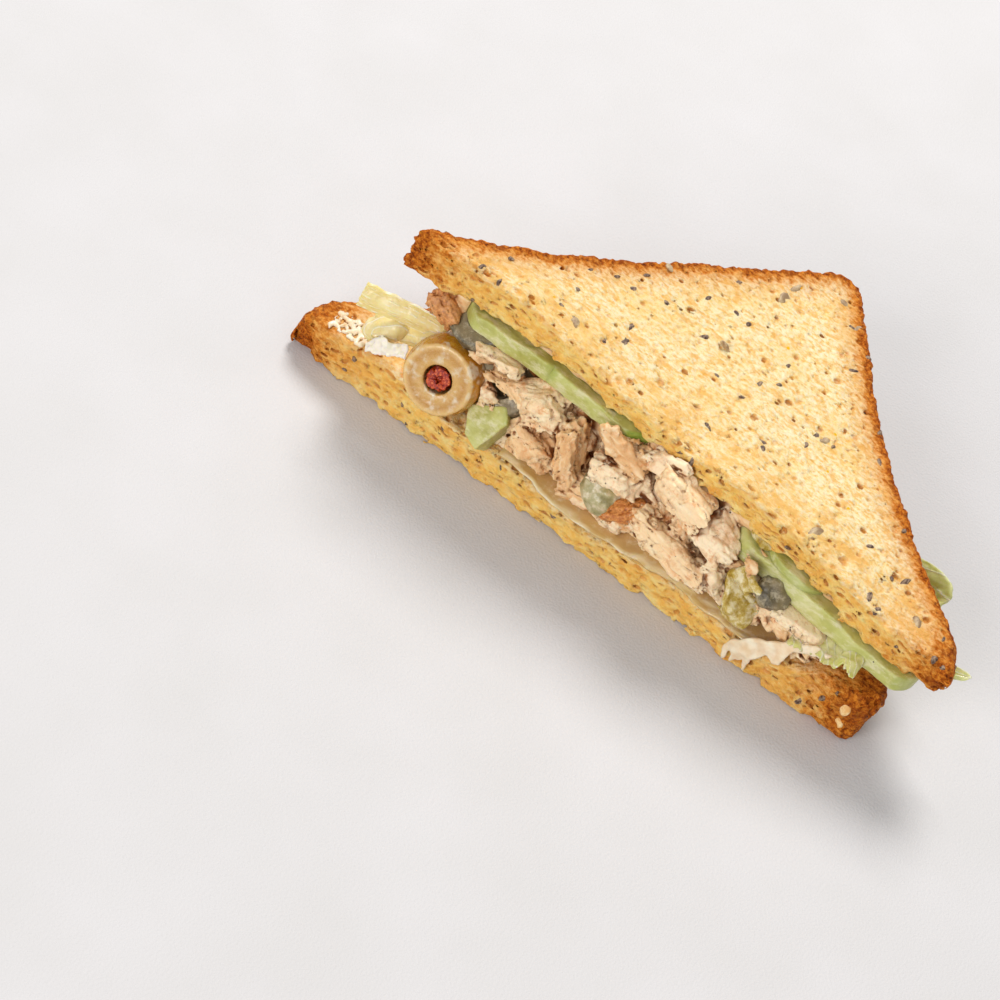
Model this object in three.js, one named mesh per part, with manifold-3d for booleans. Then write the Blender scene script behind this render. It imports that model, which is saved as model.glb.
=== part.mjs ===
// A chicken salad sandwich: one half of a toast sandwich that was cut from corner to corner.
//
// Millimetres, +Z up. The pieces are laid out from the middle of the cut: +X runs along the
// cut, +Y from the cut to the right-angled corner of the bread, and Z = 0 is the surface that
// the lower slice lies on. At the end everything is moved so that the origin is on that
// surface, under the middle of the bounding box.

import * as THREE from 'three';
import { ConvexGeometry } from 'three/addons/geometries/ConvexGeometry.js';
import { ImprovedNoise } from 'three/addons/math/ImprovedNoise.js';
import { mergeVertices } from 'three/addons/utils/BufferGeometryUtils.js';
import Module from 'manifold-3d';

// ---------------------------------------------------------------- driving dimensions

const GAP = 0.35; // clearance between neighbouring pieces
const SLACK = 0.35; // extra clearance of a piece whose facets are merged after it is cut
const SMOOTHING = 0.05; // a cut merges facets flatter than this, or than SLACK allows

// Bread. A slice is a square with round corners, cut near its diagonal. Each corner has its reach
// from the middle of that diagonal, without its rounding, and its radius. The crust sides bow
// inwards by their sag, deepest at the given part of the way from the tip to the apex.
const BREAD_THICKNESS = 12.2;
const SQUEEZE_DEPTH = 24; // how far behind the cut the knife has pressed the crumb thinner
const RIM = 1.1; // rounding of the slice's edges
const CRUST_RELIEF = 0.5;
const TORN_RELIEF = 1.1; // unevenness of the cut faces
const CRUMB_RELIEF = 0.55; // unevenness of the broad faces
const CUT_STEPS = 34;
const LEG_STEPS = 9;
const TIP_STEPS = 3;
const APEX_STEPS = 5;
const BOTTOM = {
  left: { reach: 79, radius: 8, sag: 3.4, deepest: 0.5 },
  right: { reach: 80, radius: 9, sag: 3.8, deepest: 0.5 },
  apex: { reach: 78, radius: 7 },
  overcut: 3.5, // the cut runs this far outside the diagonal
  lean: 2.6, // the crusts lean to the right from the lower to the upper face
  phase: 3.1,
};
const TOP = {
  left: { reach: 73.6, radius: 5, sag: 4.2, deepest: 0.3 },
  right: { reach: 77.6, radius: 12, sag: 4.9, deepest: 0.45 },
  apex: { reach: 76.6, radius: 6 },
  overcut: 0,
  lean: 0,
  phase: 11.7,
};
const TOP_ORIGIN = new THREE.Vector3(14.5, 6, 40.8); // where the upper slice has slipped to
const TOP_TILT = new THREE.Euler(
  THREE.MathUtils.degToRad(-3), THREE.MathUtils.degToRad(6.8), 0);

// Height of the lower slice along the cut, as [distance along the cut, thickness].
const BOTTOM_AT_CUT = [
  [-75, 10.8], [-56, 12.2], [-47, 12.2], [-32, 9.6], [-20, 10.2], [-4, 7.8], [4, 6.7],
  [14, 8.2], [28, 9.2], [38, 8.4], [47, 7.2], [56, 11.2], [65, 14.2], [75, 15.2]];
// The upper slice along the cut: thickness, and how far its upper edge is lifted.
const TOP_AT_CUT = [
  [-72, 12.8], [-62, 11.2], [-54, 9.2], [-42, 7.6], [-30, 6.2], [-16, 5.6], [-2, 5.6],
  [8, 6.6], [23, 6.8], [35, 6.4], [42, 7.8], [56, 8.8], [72, 8]];
const TOP_LIFT = [
  [-72, -1.2], [-54, 0.2], [-44, 1.8], [-32, 1.3], [-12, 0.2], [2, -0.6], [16, 1.4],
  [30, 0.8], [42, -0.6], [52, -1.6], [72, -1.6]];

// Seeds baked into the bread stand a little proud of it.
const SEED_SIZE = new THREE.Vector3(2.6, 1.7, 1.2);
const SEEDS_ON_TOP = 12;
const SEEDS_ON_CUT = 5;
const SEEDS_ON_CRUST = 4;

// Filling
const OLIVE_RADIUS = 9;
const OLIVE_FACE_RADIUS = 7.8; // of its cut face, in front of its widest part
const OLIVE_LENGTH = 15.5;
const OLIVE_HOLE_RADIUS = 3.3;
const OLIVE_HOLE_DEPTH = 6;
const OLIVE_SIDES = 16;
const OLIVE_FACE = new THREE.Vector3(-38.2, -2.4, 21.9); // middle of the olive's cut face
const OLIVE_AXIS = new THREE.Vector3(0.09, -0.91, 0.41); // where that face looks
const CUCUMBER_SIDES = 22;
const LEAF_THICKNESS = 0.8;
const CORE_INSET = 7; // the heap's core stays this far inside the crusts and the cut
const CORE_STEPS = 6; // points along each of its sides
const CHUNK_POINTS = 12; // corners of one lump of chicken
const FLAKE_POINTS = 8; // corners of the smaller flake on it

// ---------------------------------------------------------------- small helpers

const wasm = await Module();
wasm.setup();

const noise = new ImprovedNoise();

// Smooth unevenness between about -1 and 1, with lumps of the given size.
function lumps(x, y, z, size) {
  return noise.noise(x / size + 31.4, y / size + 27.2, z / size + 14.1) * 1.6;
}

// A repeatable row of numbers between 0 and 1.
function randomFrom(seed) {
  let state = seed * 2654435761 >>> 0;
  return () => {
    state = (state * 1664525 + 1013904223) >>> 0;
    return state / 4294967296;
  };
}

// The value of a [position, value] table at x, eased between its entries.
function alongCut(table, x) {
  if (x <= table[0][0]) return table[0][1];
  for (let i = 1; i < table.length; i += 1) {
    const [x0, v0] = table[i - 1];
    const [x1, v1] = table[i];
    if (x <= x1) return THREE.MathUtils.lerp(v0, v1, THREE.MathUtils.smoothstep(x, x0, x1));
  }
  return table[table.length - 1][1];
}

function solidOf(geometry) {
  const bare = geometry.clone();
  bare.deleteAttribute('normal');
  bare.deleteAttribute('uv');
  const merged = mergeVertices(bare, 1e-4);
  const mesh = new wasm.Mesh({
    numProp: 3,
    vertProperties: Float32Array.from(merged.attributes.position.array),
    triVerts: Uint32Array.from(merged.index.array),
  });
  return new wasm.Manifold(mesh);
}

function geometryOf(solid) {
  const mesh = solid.getMesh();
  const geometry = new THREE.BufferGeometry();
  geometry.setAttribute('position', new THREE.BufferAttribute(mesh.vertProperties, 3));
  geometry.setIndex(new THREE.BufferAttribute(mesh.triVerts, 1));
  return geometry;
}

// The biggest body of a cut solid: crumbs that a cut leaves loose are dropped.
function biggest(solid) {
  const bodies = solid.decompose();
  return bodies.reduce((best, body) => (body.volume() > best.volume() ? body : best));
}

// A closed mesh through a stack of rings with the same number of points, from a first point
// that closes the first ring to a last point that closes the last.
function ringSolid(first, rings, last) {
  const count = rings[0].length;
  const points = [first, ...rings.flat(), last];
  const faces = [];
  const at = (ring, i) => 1 + ring * count + (i % count);
  for (let i = 0; i < count; i += 1) {
    faces.push(0, at(0, i), at(0, i + 1));
    for (let ring = 0; ring + 1 < rings.length; ring += 1) {
      faces.push(at(ring, i), at(ring + 1, i), at(ring + 1, i + 1));
      faces.push(at(ring, i), at(ring + 1, i + 1), at(ring, i + 1));
    }
    faces.push(at(rings.length - 1, i), points.length - 1, at(rings.length - 1, i + 1));
  }
  const geometry = new THREE.BufferGeometry().setFromPoints(points);
  geometry.setIndex(faces);
  return geometry;
}

// A thin wavy sheet round a middle surface, with both faces split into triangles alike.
// surface(u, v) gives a point for u and v from 0 to 1.
function sheet(columns, rows, surface, thickness, gap) {
  const step = 0.01; // of u and v, to measure the surface's slope
  const points = [];
  const half = thickness / 2 + gap;
  for (const side of [1, -1]) {
    for (let j = 0; j <= rows; j += 1) {
      for (let i = 0; i <= columns; i += 1) {
        const u = i / columns;
        const v = j / rows;
        const p = surface(u, v);
        const alongU = surface(u + step, v).sub(surface(u - step, v)).normalize();
        const alongV = surface(u, v + step).sub(surface(u, v - step)).normalize();
        const normal = alongU.clone().cross(alongV).normalize();
        if (i === 0) p.addScaledVector(alongU, -gap);
        if (i === columns) p.addScaledVector(alongU, gap);
        if (j === 0) p.addScaledVector(alongV, -gap);
        if (j === rows) p.addScaledVector(alongV, gap);
        points.push(p.addScaledVector(normal, side * half));
      }
    }
  }
  const width = columns + 1;
  const layer = width * (rows + 1);
  const faces = [];
  const quad = (a, b, c, d) => faces.push(a, b, c, a, c, d);
  for (let j = 0; j < rows; j += 1) {
    for (let i = 0; i < columns; i += 1) {
      const a = j * width + i;
      const under = [a, a + 1, a + 1 + width, a + width].map((k) => k + layer);
      quad(a, a + 1, a + 1 + width, a + width);
      faces.push(under[0], under[2], under[1], under[0], under[3], under[2]);
    }
  }
  const wall = (a, b) => quad(a + layer, b + layer, b, a);
  for (let i = 0; i < columns; i += 1) {
    wall(i, i + 1);
    wall(rows * width + i + 1, rows * width + i);
  }
  for (let j = 0; j < rows; j += 1) {
    wall((j + 1) * width, j * width);
    wall(j * width + columns, (j + 1) * width + columns);
  }
  const geometry = new THREE.BufferGeometry().setFromPoints(points);
  geometry.setIndex(faces);
  return geometry;
}

// ---------------------------------------------------------------- bread

// The outline of a half slice, anticlockwise from the left tip: the cut, a tip, a crust side,
// the whole corner, and the same back again.
function halfSliceOutline({ left, right, apex, overcut }) {
  const points = [];
  const arc = (x, y, radius, from, to, steps) => {
    for (let i = 0; i < steps; i += 1) {
      const angle = THREE.MathUtils.lerp(from, to, i / steps);
      points.push(new THREE.Vector2(x + radius * Math.cos(angle), y + radius * Math.sin(angle)));
    }
  };
  const corner = ({ reach, radius }) => reach - radius * Math.SQRT2; // middle of its rounding
  const below = ({ radius }) => Math.asin(overcut / radius); // how far the cut reaches round it
  const tipOf = (tip) => corner(tip) + tip.radius * Math.cos(below(tip));
  const side = Math.SQRT1_2;
  const leg = (mirror, tip) => {
    const start = new THREE.Vector2(corner(tip) + tip.radius * side, overcut + tip.radius * side);
    const end = new THREE.Vector2(apex.radius * side, overcut + corner(apex) + apex.radius * side);
    const skew = Math.log(0.5) / Math.log(tip.deepest);
    for (let i = 0; i < LEG_STEPS; i += 1) {
      const t = mirror > 0 ? i / LEG_STEPS : 1 - i / LEG_STEPS;
      const p = start.clone().lerp(end, t);
      const sag = tip.sag * Math.sin(Math.PI * t ** skew);
      points.push(new THREE.Vector2(mirror * (p.x - sag * side), p.y - sag * side));
    }
  };
  for (let i = 0; i < CUT_STEPS; i += 1) {
    points.push(new THREE.Vector2(
      THREE.MathUtils.lerp(-tipOf(left), tipOf(right), i / CUT_STEPS), 0));
  }
  arc(corner(right), overcut, right.radius, -below(right), Math.PI / 4, TIP_STEPS);
  leg(1, right);
  arc(0, overcut + corner(apex), apex.radius, Math.PI / 4, Math.PI * 0.75, APEX_STEPS);
  leg(-1, left);
  arc(-corner(left), overcut, left.radius, Math.PI * 0.75, Math.PI + below(left), TIP_STEPS);
  return points;
}

function outwardNormals(outline) {
  return outline.map((p, i) => {
    const before = outline[(i + outline.length - 1) % outline.length];
    const after = outline[(i + 1) % outline.length];
    return new THREE.Vector2(after.y - before.y, before.x - after.x).normalize();
  });
}

// One half slice between its lower and upper faces. gap makes it larger all round, spread
// moves its outline outwards, and backing moves the face that is away from the filling.
function halfSlice(spec, { gap = 0, spread = 0, backing = 0 } = {}) {
  const outline = halfSliceOutline(spec);
  const normals = outwardNormals(outline);
  const middle = new THREE.Vector2(0, spec.apex.reach * 0.36);
  const ring = (scale, inset, level) => outline.map((p, i) => {
    const flat = p.clone().sub(middle).multiplyScalar(scale).add(middle);
    flat.addScaledVector(normals[i], -inset);
    const low = spec.lower(flat.x, flat.y);
    const high = spec.upper(flat.x, flat.y);
    const z = THREE.MathUtils.lerp(low, high, level);
    const onSide = scale === 1 && inset === 0;
    const onCut = i < CUT_STEPS;
    const relief = onCut ? TORN_RELIEF : CRUST_RELIEF;
    const rough = onSide ? relief * lumps(flat.x, flat.y + spec.phase, z * 1.4, onCut ? 5 : 7) : 0;
    flat.addScaledVector(normals[i], rough + gap + spread);
    const lift = (level - 0.5) * 2 * gap;
    const back = (spec.backing > 0 ? Math.max(level - 0.5, 0) : Math.min(level - 0.5, 0)) * 2;
    const leaning = spec.lean * (level - 0.5) * Math.min(Math.abs(p.x) / middle.y, 1) * scale;
    return new THREE.Vector3(flat.x + leaning, flat.y, z + lift + back * backing);
  });
  const rings = [
    ring(0.27, 0, 1), ring(0.52, 0, 1), ring(0.76, 0, 1), ring(0.92, 0, 1), ring(1, RIM, 1),
    ring(1, 0, 1 - RIM / BREAD_THICKNESS), ring(1, 0, 0.5), ring(1, 0, RIM / BREAD_THICKNESS),
    ring(1, RIM, 0), ring(0.92, 0, 0), ring(0.76, 0, 0), ring(0.52, 0, 0), ring(0.27, 0, 0)];
  const centre = (level, sign) => new THREE.Vector3(
    middle.x, middle.y,
    (level ? spec.upper(middle.x, middle.y) : spec.lower(middle.x, middle.y))
      + sign * gap + (Math.sign(spec.backing) === sign ? sign * backing : 0));
  return ringSolid(centre(1, 1), rings, centre(0, -1));
}

function breadUndulation(spec, x, y) {
  return CRUMB_RELIEF * lumps(x, y, spec.phase * 5, 17);
}

// The lower slice: flat underneath, squeezed thin by the knife between its two thick tips.
BOTTOM.backing = -1;
BOTTOM.lower = () => 0;
BOTTOM.upper = (x, y) => {
  const squeezed = 1 - THREE.MathUtils.smoothstep(y, 0, SQUEEZE_DEPTH);
  const thickness = THREE.MathUtils.lerp(BREAD_THICKNESS, alongCut(BOTTOM_AT_CUT, x), squeezed);
  return thickness + breadUndulation(BOTTOM, x, y);
};

// The upper slice hangs down from its own Z = 0.
TOP.backing = 1;
TOP.upper = (x, y) => {
  const nearCut = 1 - THREE.MathUtils.smoothstep(y, 0, SQUEEZE_DEPTH * 0.7);
  return alongCut(TOP_LIFT, x) * nearCut + breadUndulation(TOP, x, y);
};
TOP.lower = (x, y) => {
  const squeezed = 1 - THREE.MathUtils.smoothstep(y, 0, SQUEEZE_DEPTH);
  const thickness = THREE.MathUtils.lerp(BREAD_THICKNESS, alongCut(TOP_AT_CUT, x), squeezed);
  return alongCut(TOP_LIFT, x) * squeezed * 0.6 - thickness + breadUndulation(TOP, x, y + 40);
};

// A seed half sunk in the bread, lying along the surface whose outward normal is given.
function seed(at, normal, random) {
  const geometry = new THREE.IcosahedronGeometry(0.5, 0);
  geometry.scale(SEED_SIZE.x * (0.8 + 0.5 * random()), SEED_SIZE.y, SEED_SIZE.z);
  geometry.rotateZ(Math.PI * random());
  const upright = new THREE.Quaternion().setFromUnitVectors(new THREE.Vector3(0, 0, 1), normal);
  geometry.applyQuaternion(upright);
  geometry.translate(at.x, at.y, at.z);
  return solidOf(geometry);
}

// Seeds spread over the faces of a slice that show: the cut, the crusts and the upper face.
function seedsOn(spec, onUpperFace, seedNumber) {
  const random = randomFrom(seedNumber);
  const outline = halfSliceOutline(spec);
  const normals = outwardNormals(outline);
  const seeds = [];
  for (let i = 0; i < onUpperFace; i += 1) {
    const y = spec.apex.reach * (0.06 + 0.74 * (i + random()) / onUpperFace);
    const x = (random() * 2 - 1) * (spec.left.reach - 10 - y);
    seeds.push(seed(new THREE.Vector3(x, y, spec.upper(x, y)), new THREE.Vector3(0, 0, 1), random));
  }
  const onEdge = (index) => {
    const p = outline[index];
    const n = normals[index];
    const z = THREE.MathUtils.lerp(spec.lower(p.x, p.y), spec.upper(p.x, p.y), 0.3 + 0.4 * random());
    seeds.push(seed(new THREE.Vector3(p.x, p.y, z), new THREE.Vector3(n.x, n.y, 0), random));
  };
  for (let i = 0; i < SEEDS_ON_CUT; i += 1) {
    onEdge(2 + Math.floor((CUT_STEPS - 4) * (i + random()) / SEEDS_ON_CUT));
  }
  const crustPoints = outline.length - CUT_STEPS - 2 * TIP_STEPS;
  for (let i = 0; i < SEEDS_ON_CRUST; i += 1) {
    onEdge(CUT_STEPS + TIP_STEPS + Math.floor(crustPoints * (i + random()) / SEEDS_ON_CRUST));
  }
  return seeds;
}

function seededSlice(spec, onUpperFace, seedNumber) {
  const seeds = seedsOn(spec, onUpperFace, seedNumber);
  return seeds.reduce((bread, one) => bread.add(one), solidOf(halfSlice(spec)));
}

// ---------------------------------------------------------------- filling

// A slice of cucumber: an oval disc with a slightly domed rim, round its own middle.
function cucumber(length, width, thickness, gap) {
  const ring = (inset, z) => Array.from({ length: CUCUMBER_SIDES }, (_, i) => {
    const angle = 2 * Math.PI * i / CUCUMBER_SIDES;
    const a = length / 2 - inset + gap;
    const b = width / 2 - inset + gap;
    const wave = 0.25 * lumps(a * Math.cos(angle), b * Math.sin(angle), length, 9);
    return new THREE.Vector3(a * Math.cos(angle), b * Math.sin(angle), z + wave);
  });
  const half = thickness / 2 + gap;
  const rings = [
    ring(width * 0.24, half), ring(0.9, half), ring(0, half - 0.9), ring(0, 0.9 - half),
    ring(0.9, -half), ring(width * 0.24, -half)];
  return ringSolid(new THREE.Vector3(0, 0, half), rings, new THREE.Vector3(0, 0, -half));
}

// The green olive, cut across: its cut face is at Z = 0 of its own frame and looks along +Z,
// and a blind hole in that face holds the pimento.
function olive(gap) {
  const r = OLIVE_RADIUS;
  const end = -OLIVE_LENGTH;
  const hole = [
    [0, -OLIVE_HOLE_DEPTH], [OLIVE_HOLE_RADIUS * 0.75, -OLIVE_HOLE_DEPTH],
    [OLIVE_HOLE_RADIUS, -OLIVE_HOLE_DEPTH * 0.6], [OLIVE_HOLE_RADIUS * 1.06, 0]];
  const skin = [
    [OLIVE_FACE_RADIUS, gap], [r * 0.97, end * 0.17], [r, end * 0.35], [r * 0.93, end * 0.57],
    [r * 0.76, end * 0.78], [r * 0.46, end * 0.94 - gap]];
  const profile = [
    ...(gap > 0 ? [[0, gap]] : hole), ...skin.map(([x, y]) => [x + gap, y]), [0, end - gap]];
  const geometry = new THREE.LatheGeometry(
    profile.map(([x, y]) => new THREE.Vector2(x, y)).reverse(), OLIVE_SIDES);
  geometry.rotateX(Math.PI / 2);
  return geometry;
}

// The strip of pimento in the olive's hole: a folded lump that stays just below the cut face.
function pimento() {
  const geometry = new THREE.IcosahedronGeometry(1, 1);
  const position = geometry.attributes.position;
  const p = new THREE.Vector3();
  for (let i = 0; i < position.count; i += 1) {
    p.fromBufferAttribute(position, i);
    p.multiplyScalar(1 + 0.14 * lumps(p.x, p.y, p.z, 0.8));
    position.setXYZ(i, p.x, p.y, p.z);
  }
  geometry.scale(2.05, 2.2, 2.5);
  geometry.translate(0.2, -0.3, -OLIVE_HOLE_DEPTH / 2 - 0.25);
  return geometry;
}

// A lump with flat broken faces: the hull of points spread over a ball of the given size.
function lump(size, seedNumber, gap = 0, points = CHUNK_POINTS) {
  const random = randomFrom(seedNumber);
  const golden = Math.PI * (3 - Math.sqrt(5));
  const corners = [];
  for (let i = 0; i < points; i += 1) {
    const height = 1 - 2 * (i + 0.5) / points;
    const round = Math.sqrt(1 - height * height);
    const angle = golden * i + random();
    const reach = 0.8 + 0.35 * random();
    corners.push(new THREE.Vector3(
      round * Math.cos(angle) * (size[0] / 2 * reach + gap),
      round * Math.sin(angle) * (size[1] / 2 * reach + gap),
      height * (size[2] / 2 * reach + gap)));
  }
  return new ConvexGeometry(corners);
}

// The pose of a piece: where its own origin is, and its turns about X, then Y, then Z.
function pose(x, y, z, turnX = 0, turnY = 0, turnZ = 0) {
  const turns = [turnX, turnY, turnZ].map(THREE.MathUtils.degToRad);
  return new THREE.Matrix4()
    .makeRotationFromEuler(new THREE.Euler(...turns, 'ZYX'))
    .setPosition(x, y, z);
}

// ---------------------------------------------------------------- assembling

const sandwich = new THREE.Group();
const upper = new THREE.Group();
upper.position.copy(TOP_ORIGIN);
upper.rotation.copy(TOP_TILT);
upper.updateMatrix();
sandwich.add(upper);

const COLOURS = {
  bread: 0xf0c878, chicken: 0xdcb090, cucumber: 0xb4c882, olive: 0xc8963c, pimento: 0x963219,
  darkOlive: 0x6e6450, lettuce: 0xdcdca0, greenLettuce: 0xa0be3c, pickle: 0x969650,
};

const taken = []; // the space of every piece placed so far, with the gap round it

// Adds a piece. shape(gap) gives its geometry in its own frame, and frame is where that lies in
// its parent. The piece gives way to all pieces placed before it, and a coarse one has its
// facets merged as far as the slack round it allows.
function place(name, shape, colour, frame = new THREE.Matrix4(), parent = sandwich, coarse = false) {
  const world = parent.matrix.clone().multiply(frame);
  const inWorld = (made) => (made instanceof THREE.BufferGeometry
    ? solidOf(made) : made).transform(world.elements);
  let solid = inWorld(shape(0));
  for (const other of taken) solid = solid.subtract(coarse ? other.wide : other.close);
  solid = biggest(solid.simplify(coarse ? SLACK - SMOOTHING : SMOOTHING));
  taken.push({ close: inWorld(shape(GAP)), wide: inWorld(shape(GAP + SLACK)) });
  const own = solid.transform(world.clone().invert().elements);
  const material = new THREE.MeshStandardMaterial({ color: colour, roughness: 0.75, metalness: 0 });
  material.flatShading = true;
  const mesh = new THREE.Mesh(geometryOf(own), material);
  mesh.name = name;
  mesh.applyMatrix4(frame);
  parent.add(mesh);
  return mesh;
}

// The bread comes first, so that the whole filling gives way to it.
place('bread_bottom', (gap) => (gap > 0 ? halfSlice(BOTTOM, { gap }) : seededSlice(BOTTOM, 0, 5)),
  COLOURS.bread);
place('bread_top', (gap) => (gap > 0
  ? halfSlice(TOP, { gap }) : seededSlice(TOP, SEEDS_ON_TOP, 8)), COLOURS.bread,
new THREE.Matrix4(), upper);

// Cucumber under the upper slice, placed in that slice's frame: length, width, thickness, then
// the middle and the turns. The knife has cut the first ones along with the bread.
const CUCUMBERS = [
  { name: 'cucumber_1', size: [31, 29, 4.6], at: pose(-41, 9.5, -11.2, -9, -7, 0) },
  { name: 'cucumber_2', size: [35, 32, 4.6], at: pose(-20, 11, -10.4, -12, -1, 8) },
  { name: 'cucumber_4', size: [17, 15, 3.4], at: pose(33.5, 5.5, -8.2, -9, 3, -12) },
  { name: 'cucumber_3', size: [49, 24, 5.2], at: pose(43, 4.8, -12, -6, 1, -2) },
];
const CUCUMBER_FRONT = -1.6; // the cut through the cucumber, in the upper slice's frame
const FRONT_BLOCK = { length: 400, depth: 100, height: 100 }; // all that the cut takes away
const front = new THREE.BoxGeometry(FRONT_BLOCK.length, FRONT_BLOCK.depth, FRONT_BLOCK.height);
front.translate(0, CUCUMBER_FRONT - FRONT_BLOCK.depth / 2, 0);
const frontSolid = solidOf(front);
for (const { name, size, at } of CUCUMBERS) {
  const intoOwn = at.clone().invert().elements;
  const knife = frontSolid.transform(intoOwn);
  place(name, (gap) => {
    const disc = solidOf(cucumber(...size, gap));
    return gap > 0 ? disc : disc.subtract(knife);
  }, COLOURS.cucumber, at, upper, true);
}

// The olive on the lower slice, facing forwards and up out of the cut.
const olivePose = new THREE.Matrix4().makeRotationFromQuaternion(
  new THREE.Quaternion().setFromUnitVectors(new THREE.Vector3(0, 0, 1), OLIVE_AXIS.clone().normalize()));
olivePose.setPosition(OLIVE_FACE);
place('pimento', pimento, COLOURS.pimento, olivePose);
taken.pop(); // the pimento lies free in the hole, and the olive isn't cut for it
place('green_olive', olive, COLOURS.olive, olivePose);

// Two slices of dark olive lean behind the green one, and a broken one lies at the right.
place('olive_slice_1', (gap) => cucumber(15.5, 14.5, 4.2, gap), COLOURS.darkOlive,
  pose(-37, 9.5, 33, 28, -18, 0));
place('olive_slice_2', (gap) => cucumber(15, 14, 8.5, gap), COLOURS.darkOlive,
  pose(-26.5, 8.5, 22.5, 62, 12, -14));
place('olive_chunk', (gap) => lump([8, 7, 7.5], 21, gap), COLOURS.darkOlive, pose(46, 2.6, 23.2, 20, 10, 0));

// A wedge of pale cucumber flesh in front, between the olive and the chicken.
place('cucumber_chunk', (gap) => {
  const spread = (v, by) => v + Math.sign(v) * by;
  const corners = [];
  for (const z of [-3.2, 3.2]) {
    for (const [x, y] of [[-5.6, 0.6], [1.6, 6.2], [4.4, 3.4], [2.8, -5.4], [-1.6, -4.6]]) {
      corners.push(new THREE.Vector3(spread(x * (z < 0 ? 0.8 : 1), gap), spread(y, gap), spread(z, gap)));
    }
  }
  return new ConvexGeometry(corners);
}, COLOURS.cucumber, pose(-25.2, 1.8, 15.2, 48, 0, -14));

// The pickle at the right is a crumpled slice that stands on edge, and a sliver of it sits above
// the cucumber's end.
const PICKLE = { x: 40.6, y: 0.4, low: 12.6, width: 6.4, height: 13.8, thickness: 1.7 };
place('pickle_crumpled', (gap) => sheet(5, 8, (u, v) => new THREE.Vector3(
  PICKLE.x + PICKLE.width * (u - 0.5) + 1.4 * Math.sin(7 * v),
  PICKLE.y - 1.8 * Math.sin(5.2 * v + 3 * u),
  PICKLE.low + PICKLE.height * v), PICKLE.thickness, gap), COLOURS.pickle);
place('pickle_sliver', (gap) => lump([6.5, 4.5, 3], 33, gap), COLOURS.pickle, pose(38, 7.4, 31, 0, 12, -20));

// Another piece of pickle bulges out low down in the middle, under the chicken.
place('pickle_round', (gap) => lump([12.5, 8.5, 9.5], 27, gap), COLOURS.pickle,
  pose(4.6, 2.2, 18.2, -20, 14, 0));

// ------------------------------ lettuce

// Under the chicken a large leaf lies on the bread. Its front edge shows along the cut, and it
// looks out a little at both crusts.
const LEAF = { left: -20, right: 41, front: -0.9, depth: 68, out: 1.2, lift: 1.5 };
function baseLeaf(u, v) {
  const y = LEAF.front + LEAF.depth * v;
  const crust = BOTTOM.right.reach - BOTTOM.right.sag + LEAF.out - Math.max(y, 0);
  const ragged = 1.6 * Math.sin(9 * v + 2);
  const spread = THREE.MathUtils.smoothstep(v, -0.1, 0.3);
  const wideLeft = THREE.MathUtils.smoothstep(v, 0.08, 0.4);
  const left = THREE.MathUtils.lerp(LEAF.left, -crust + ragged, wideLeft);
  const right = THREE.MathUtils.lerp(LEAF.right, crust + ragged, spread);
  const x = THREE.MathUtils.lerp(left, right, u);
  const wave = 0.45 + 0.45 * Math.sin(x * 0.33 + y * 0.2);
  return new THREE.Vector3(x, y, BOTTOM.upper(x, Math.max(y, 0)) + LEAF.lift + wave);
}
place('lettuce_base', (gap) => sheet(15, 8, baseLeaf, LEAF_THICKNESS, gap), COLOURS.lettuce);

// A pale rib strip stands out at the left end, from its root behind the olive to a free end.
const STRIP = { root: [-43.5, 5.5, 24.4], end: [-62.5, 0, 25.5], width: 5.6, arch: 1.4, thickness: 1.1 };
place('lettuce_strip', (gap) => sheet(10, 3, (u, v) => {
  const p = new THREE.Vector3(...STRIP.root).lerp(new THREE.Vector3(...STRIP.end), u);
  p.y += 1.6 * v;
  p.z += STRIP.arch * Math.sin(3 * u) * (1 - u) + STRIP.width * (v - 0.3) * (0.75 + 0.35 * u);
  return p;
}, STRIP.thickness, gap), COLOURS.lettuce);

// Under it a piece of leaf is curled like a cup, open upwards.
const CUP = { x: -54.2, y: 1.8, low: 15.6, height: 8.4, radius: 4.9, spread: 9.9, thickness: 0.9 };
place('lettuce_cup', (gap) => sheet(7, 6, (u, v) => {
  const angle = 0.4 + 2.9 * u;
  const radius = CUP.radius * (0.75 + 0.3 * v);
  return new THREE.Vector3(
    CUP.x - CUP.spread * (0.5 - u) + 0.3 * radius * Math.cos(angle),
    CUP.y - 0.62 * radius * Math.sin(angle) + 3.4 * v,
    CUP.low + CUP.height * v + 0.7 * Math.sin(11 * u));
}, CUP.thickness, gap), COLOURS.lettuce);

// Frilly green leaf at the right end of the cut, and a darker leaf further in behind it.
const FRILL = { x: 54, y: -2.2, z: 18.2, length: 17.5, depth: 13, slope: 3.4, wave: 1.5 };
place('lettuce_frill', (gap) => sheet(14, 5, (u, v) => new THREE.Vector3(
  FRILL.x + FRILL.length * u,
  FRILL.y + FRILL.depth * v - 0.9 * Math.sin(15 * u),
  FRILL.z + FRILL.slope * u + FRILL.wave * Math.sin(17 * u) * (1 - 0.6 * v)),
LEAF_THICKNESS, gap), COLOURS.greenLettuce);
const GREEN_LEAF = { x: 46.5, y: 4, z: 14.4, width: 7, depth: 9, rise: 5.5 };
place('lettuce_green', (gap) => sheet(5, 5, (u, v) => new THREE.Vector3(
  GREEN_LEAF.x + GREEN_LEAF.width * u,
  GREEN_LEAF.y + GREEN_LEAF.depth * v + 1.2 * Math.sin(4 * u),
  GREEN_LEAF.z + GREEN_LEAF.rise * v + 1.1 * u), LEAF_THICKNESS, gap), COLOURS.greenLettuce);

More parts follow.
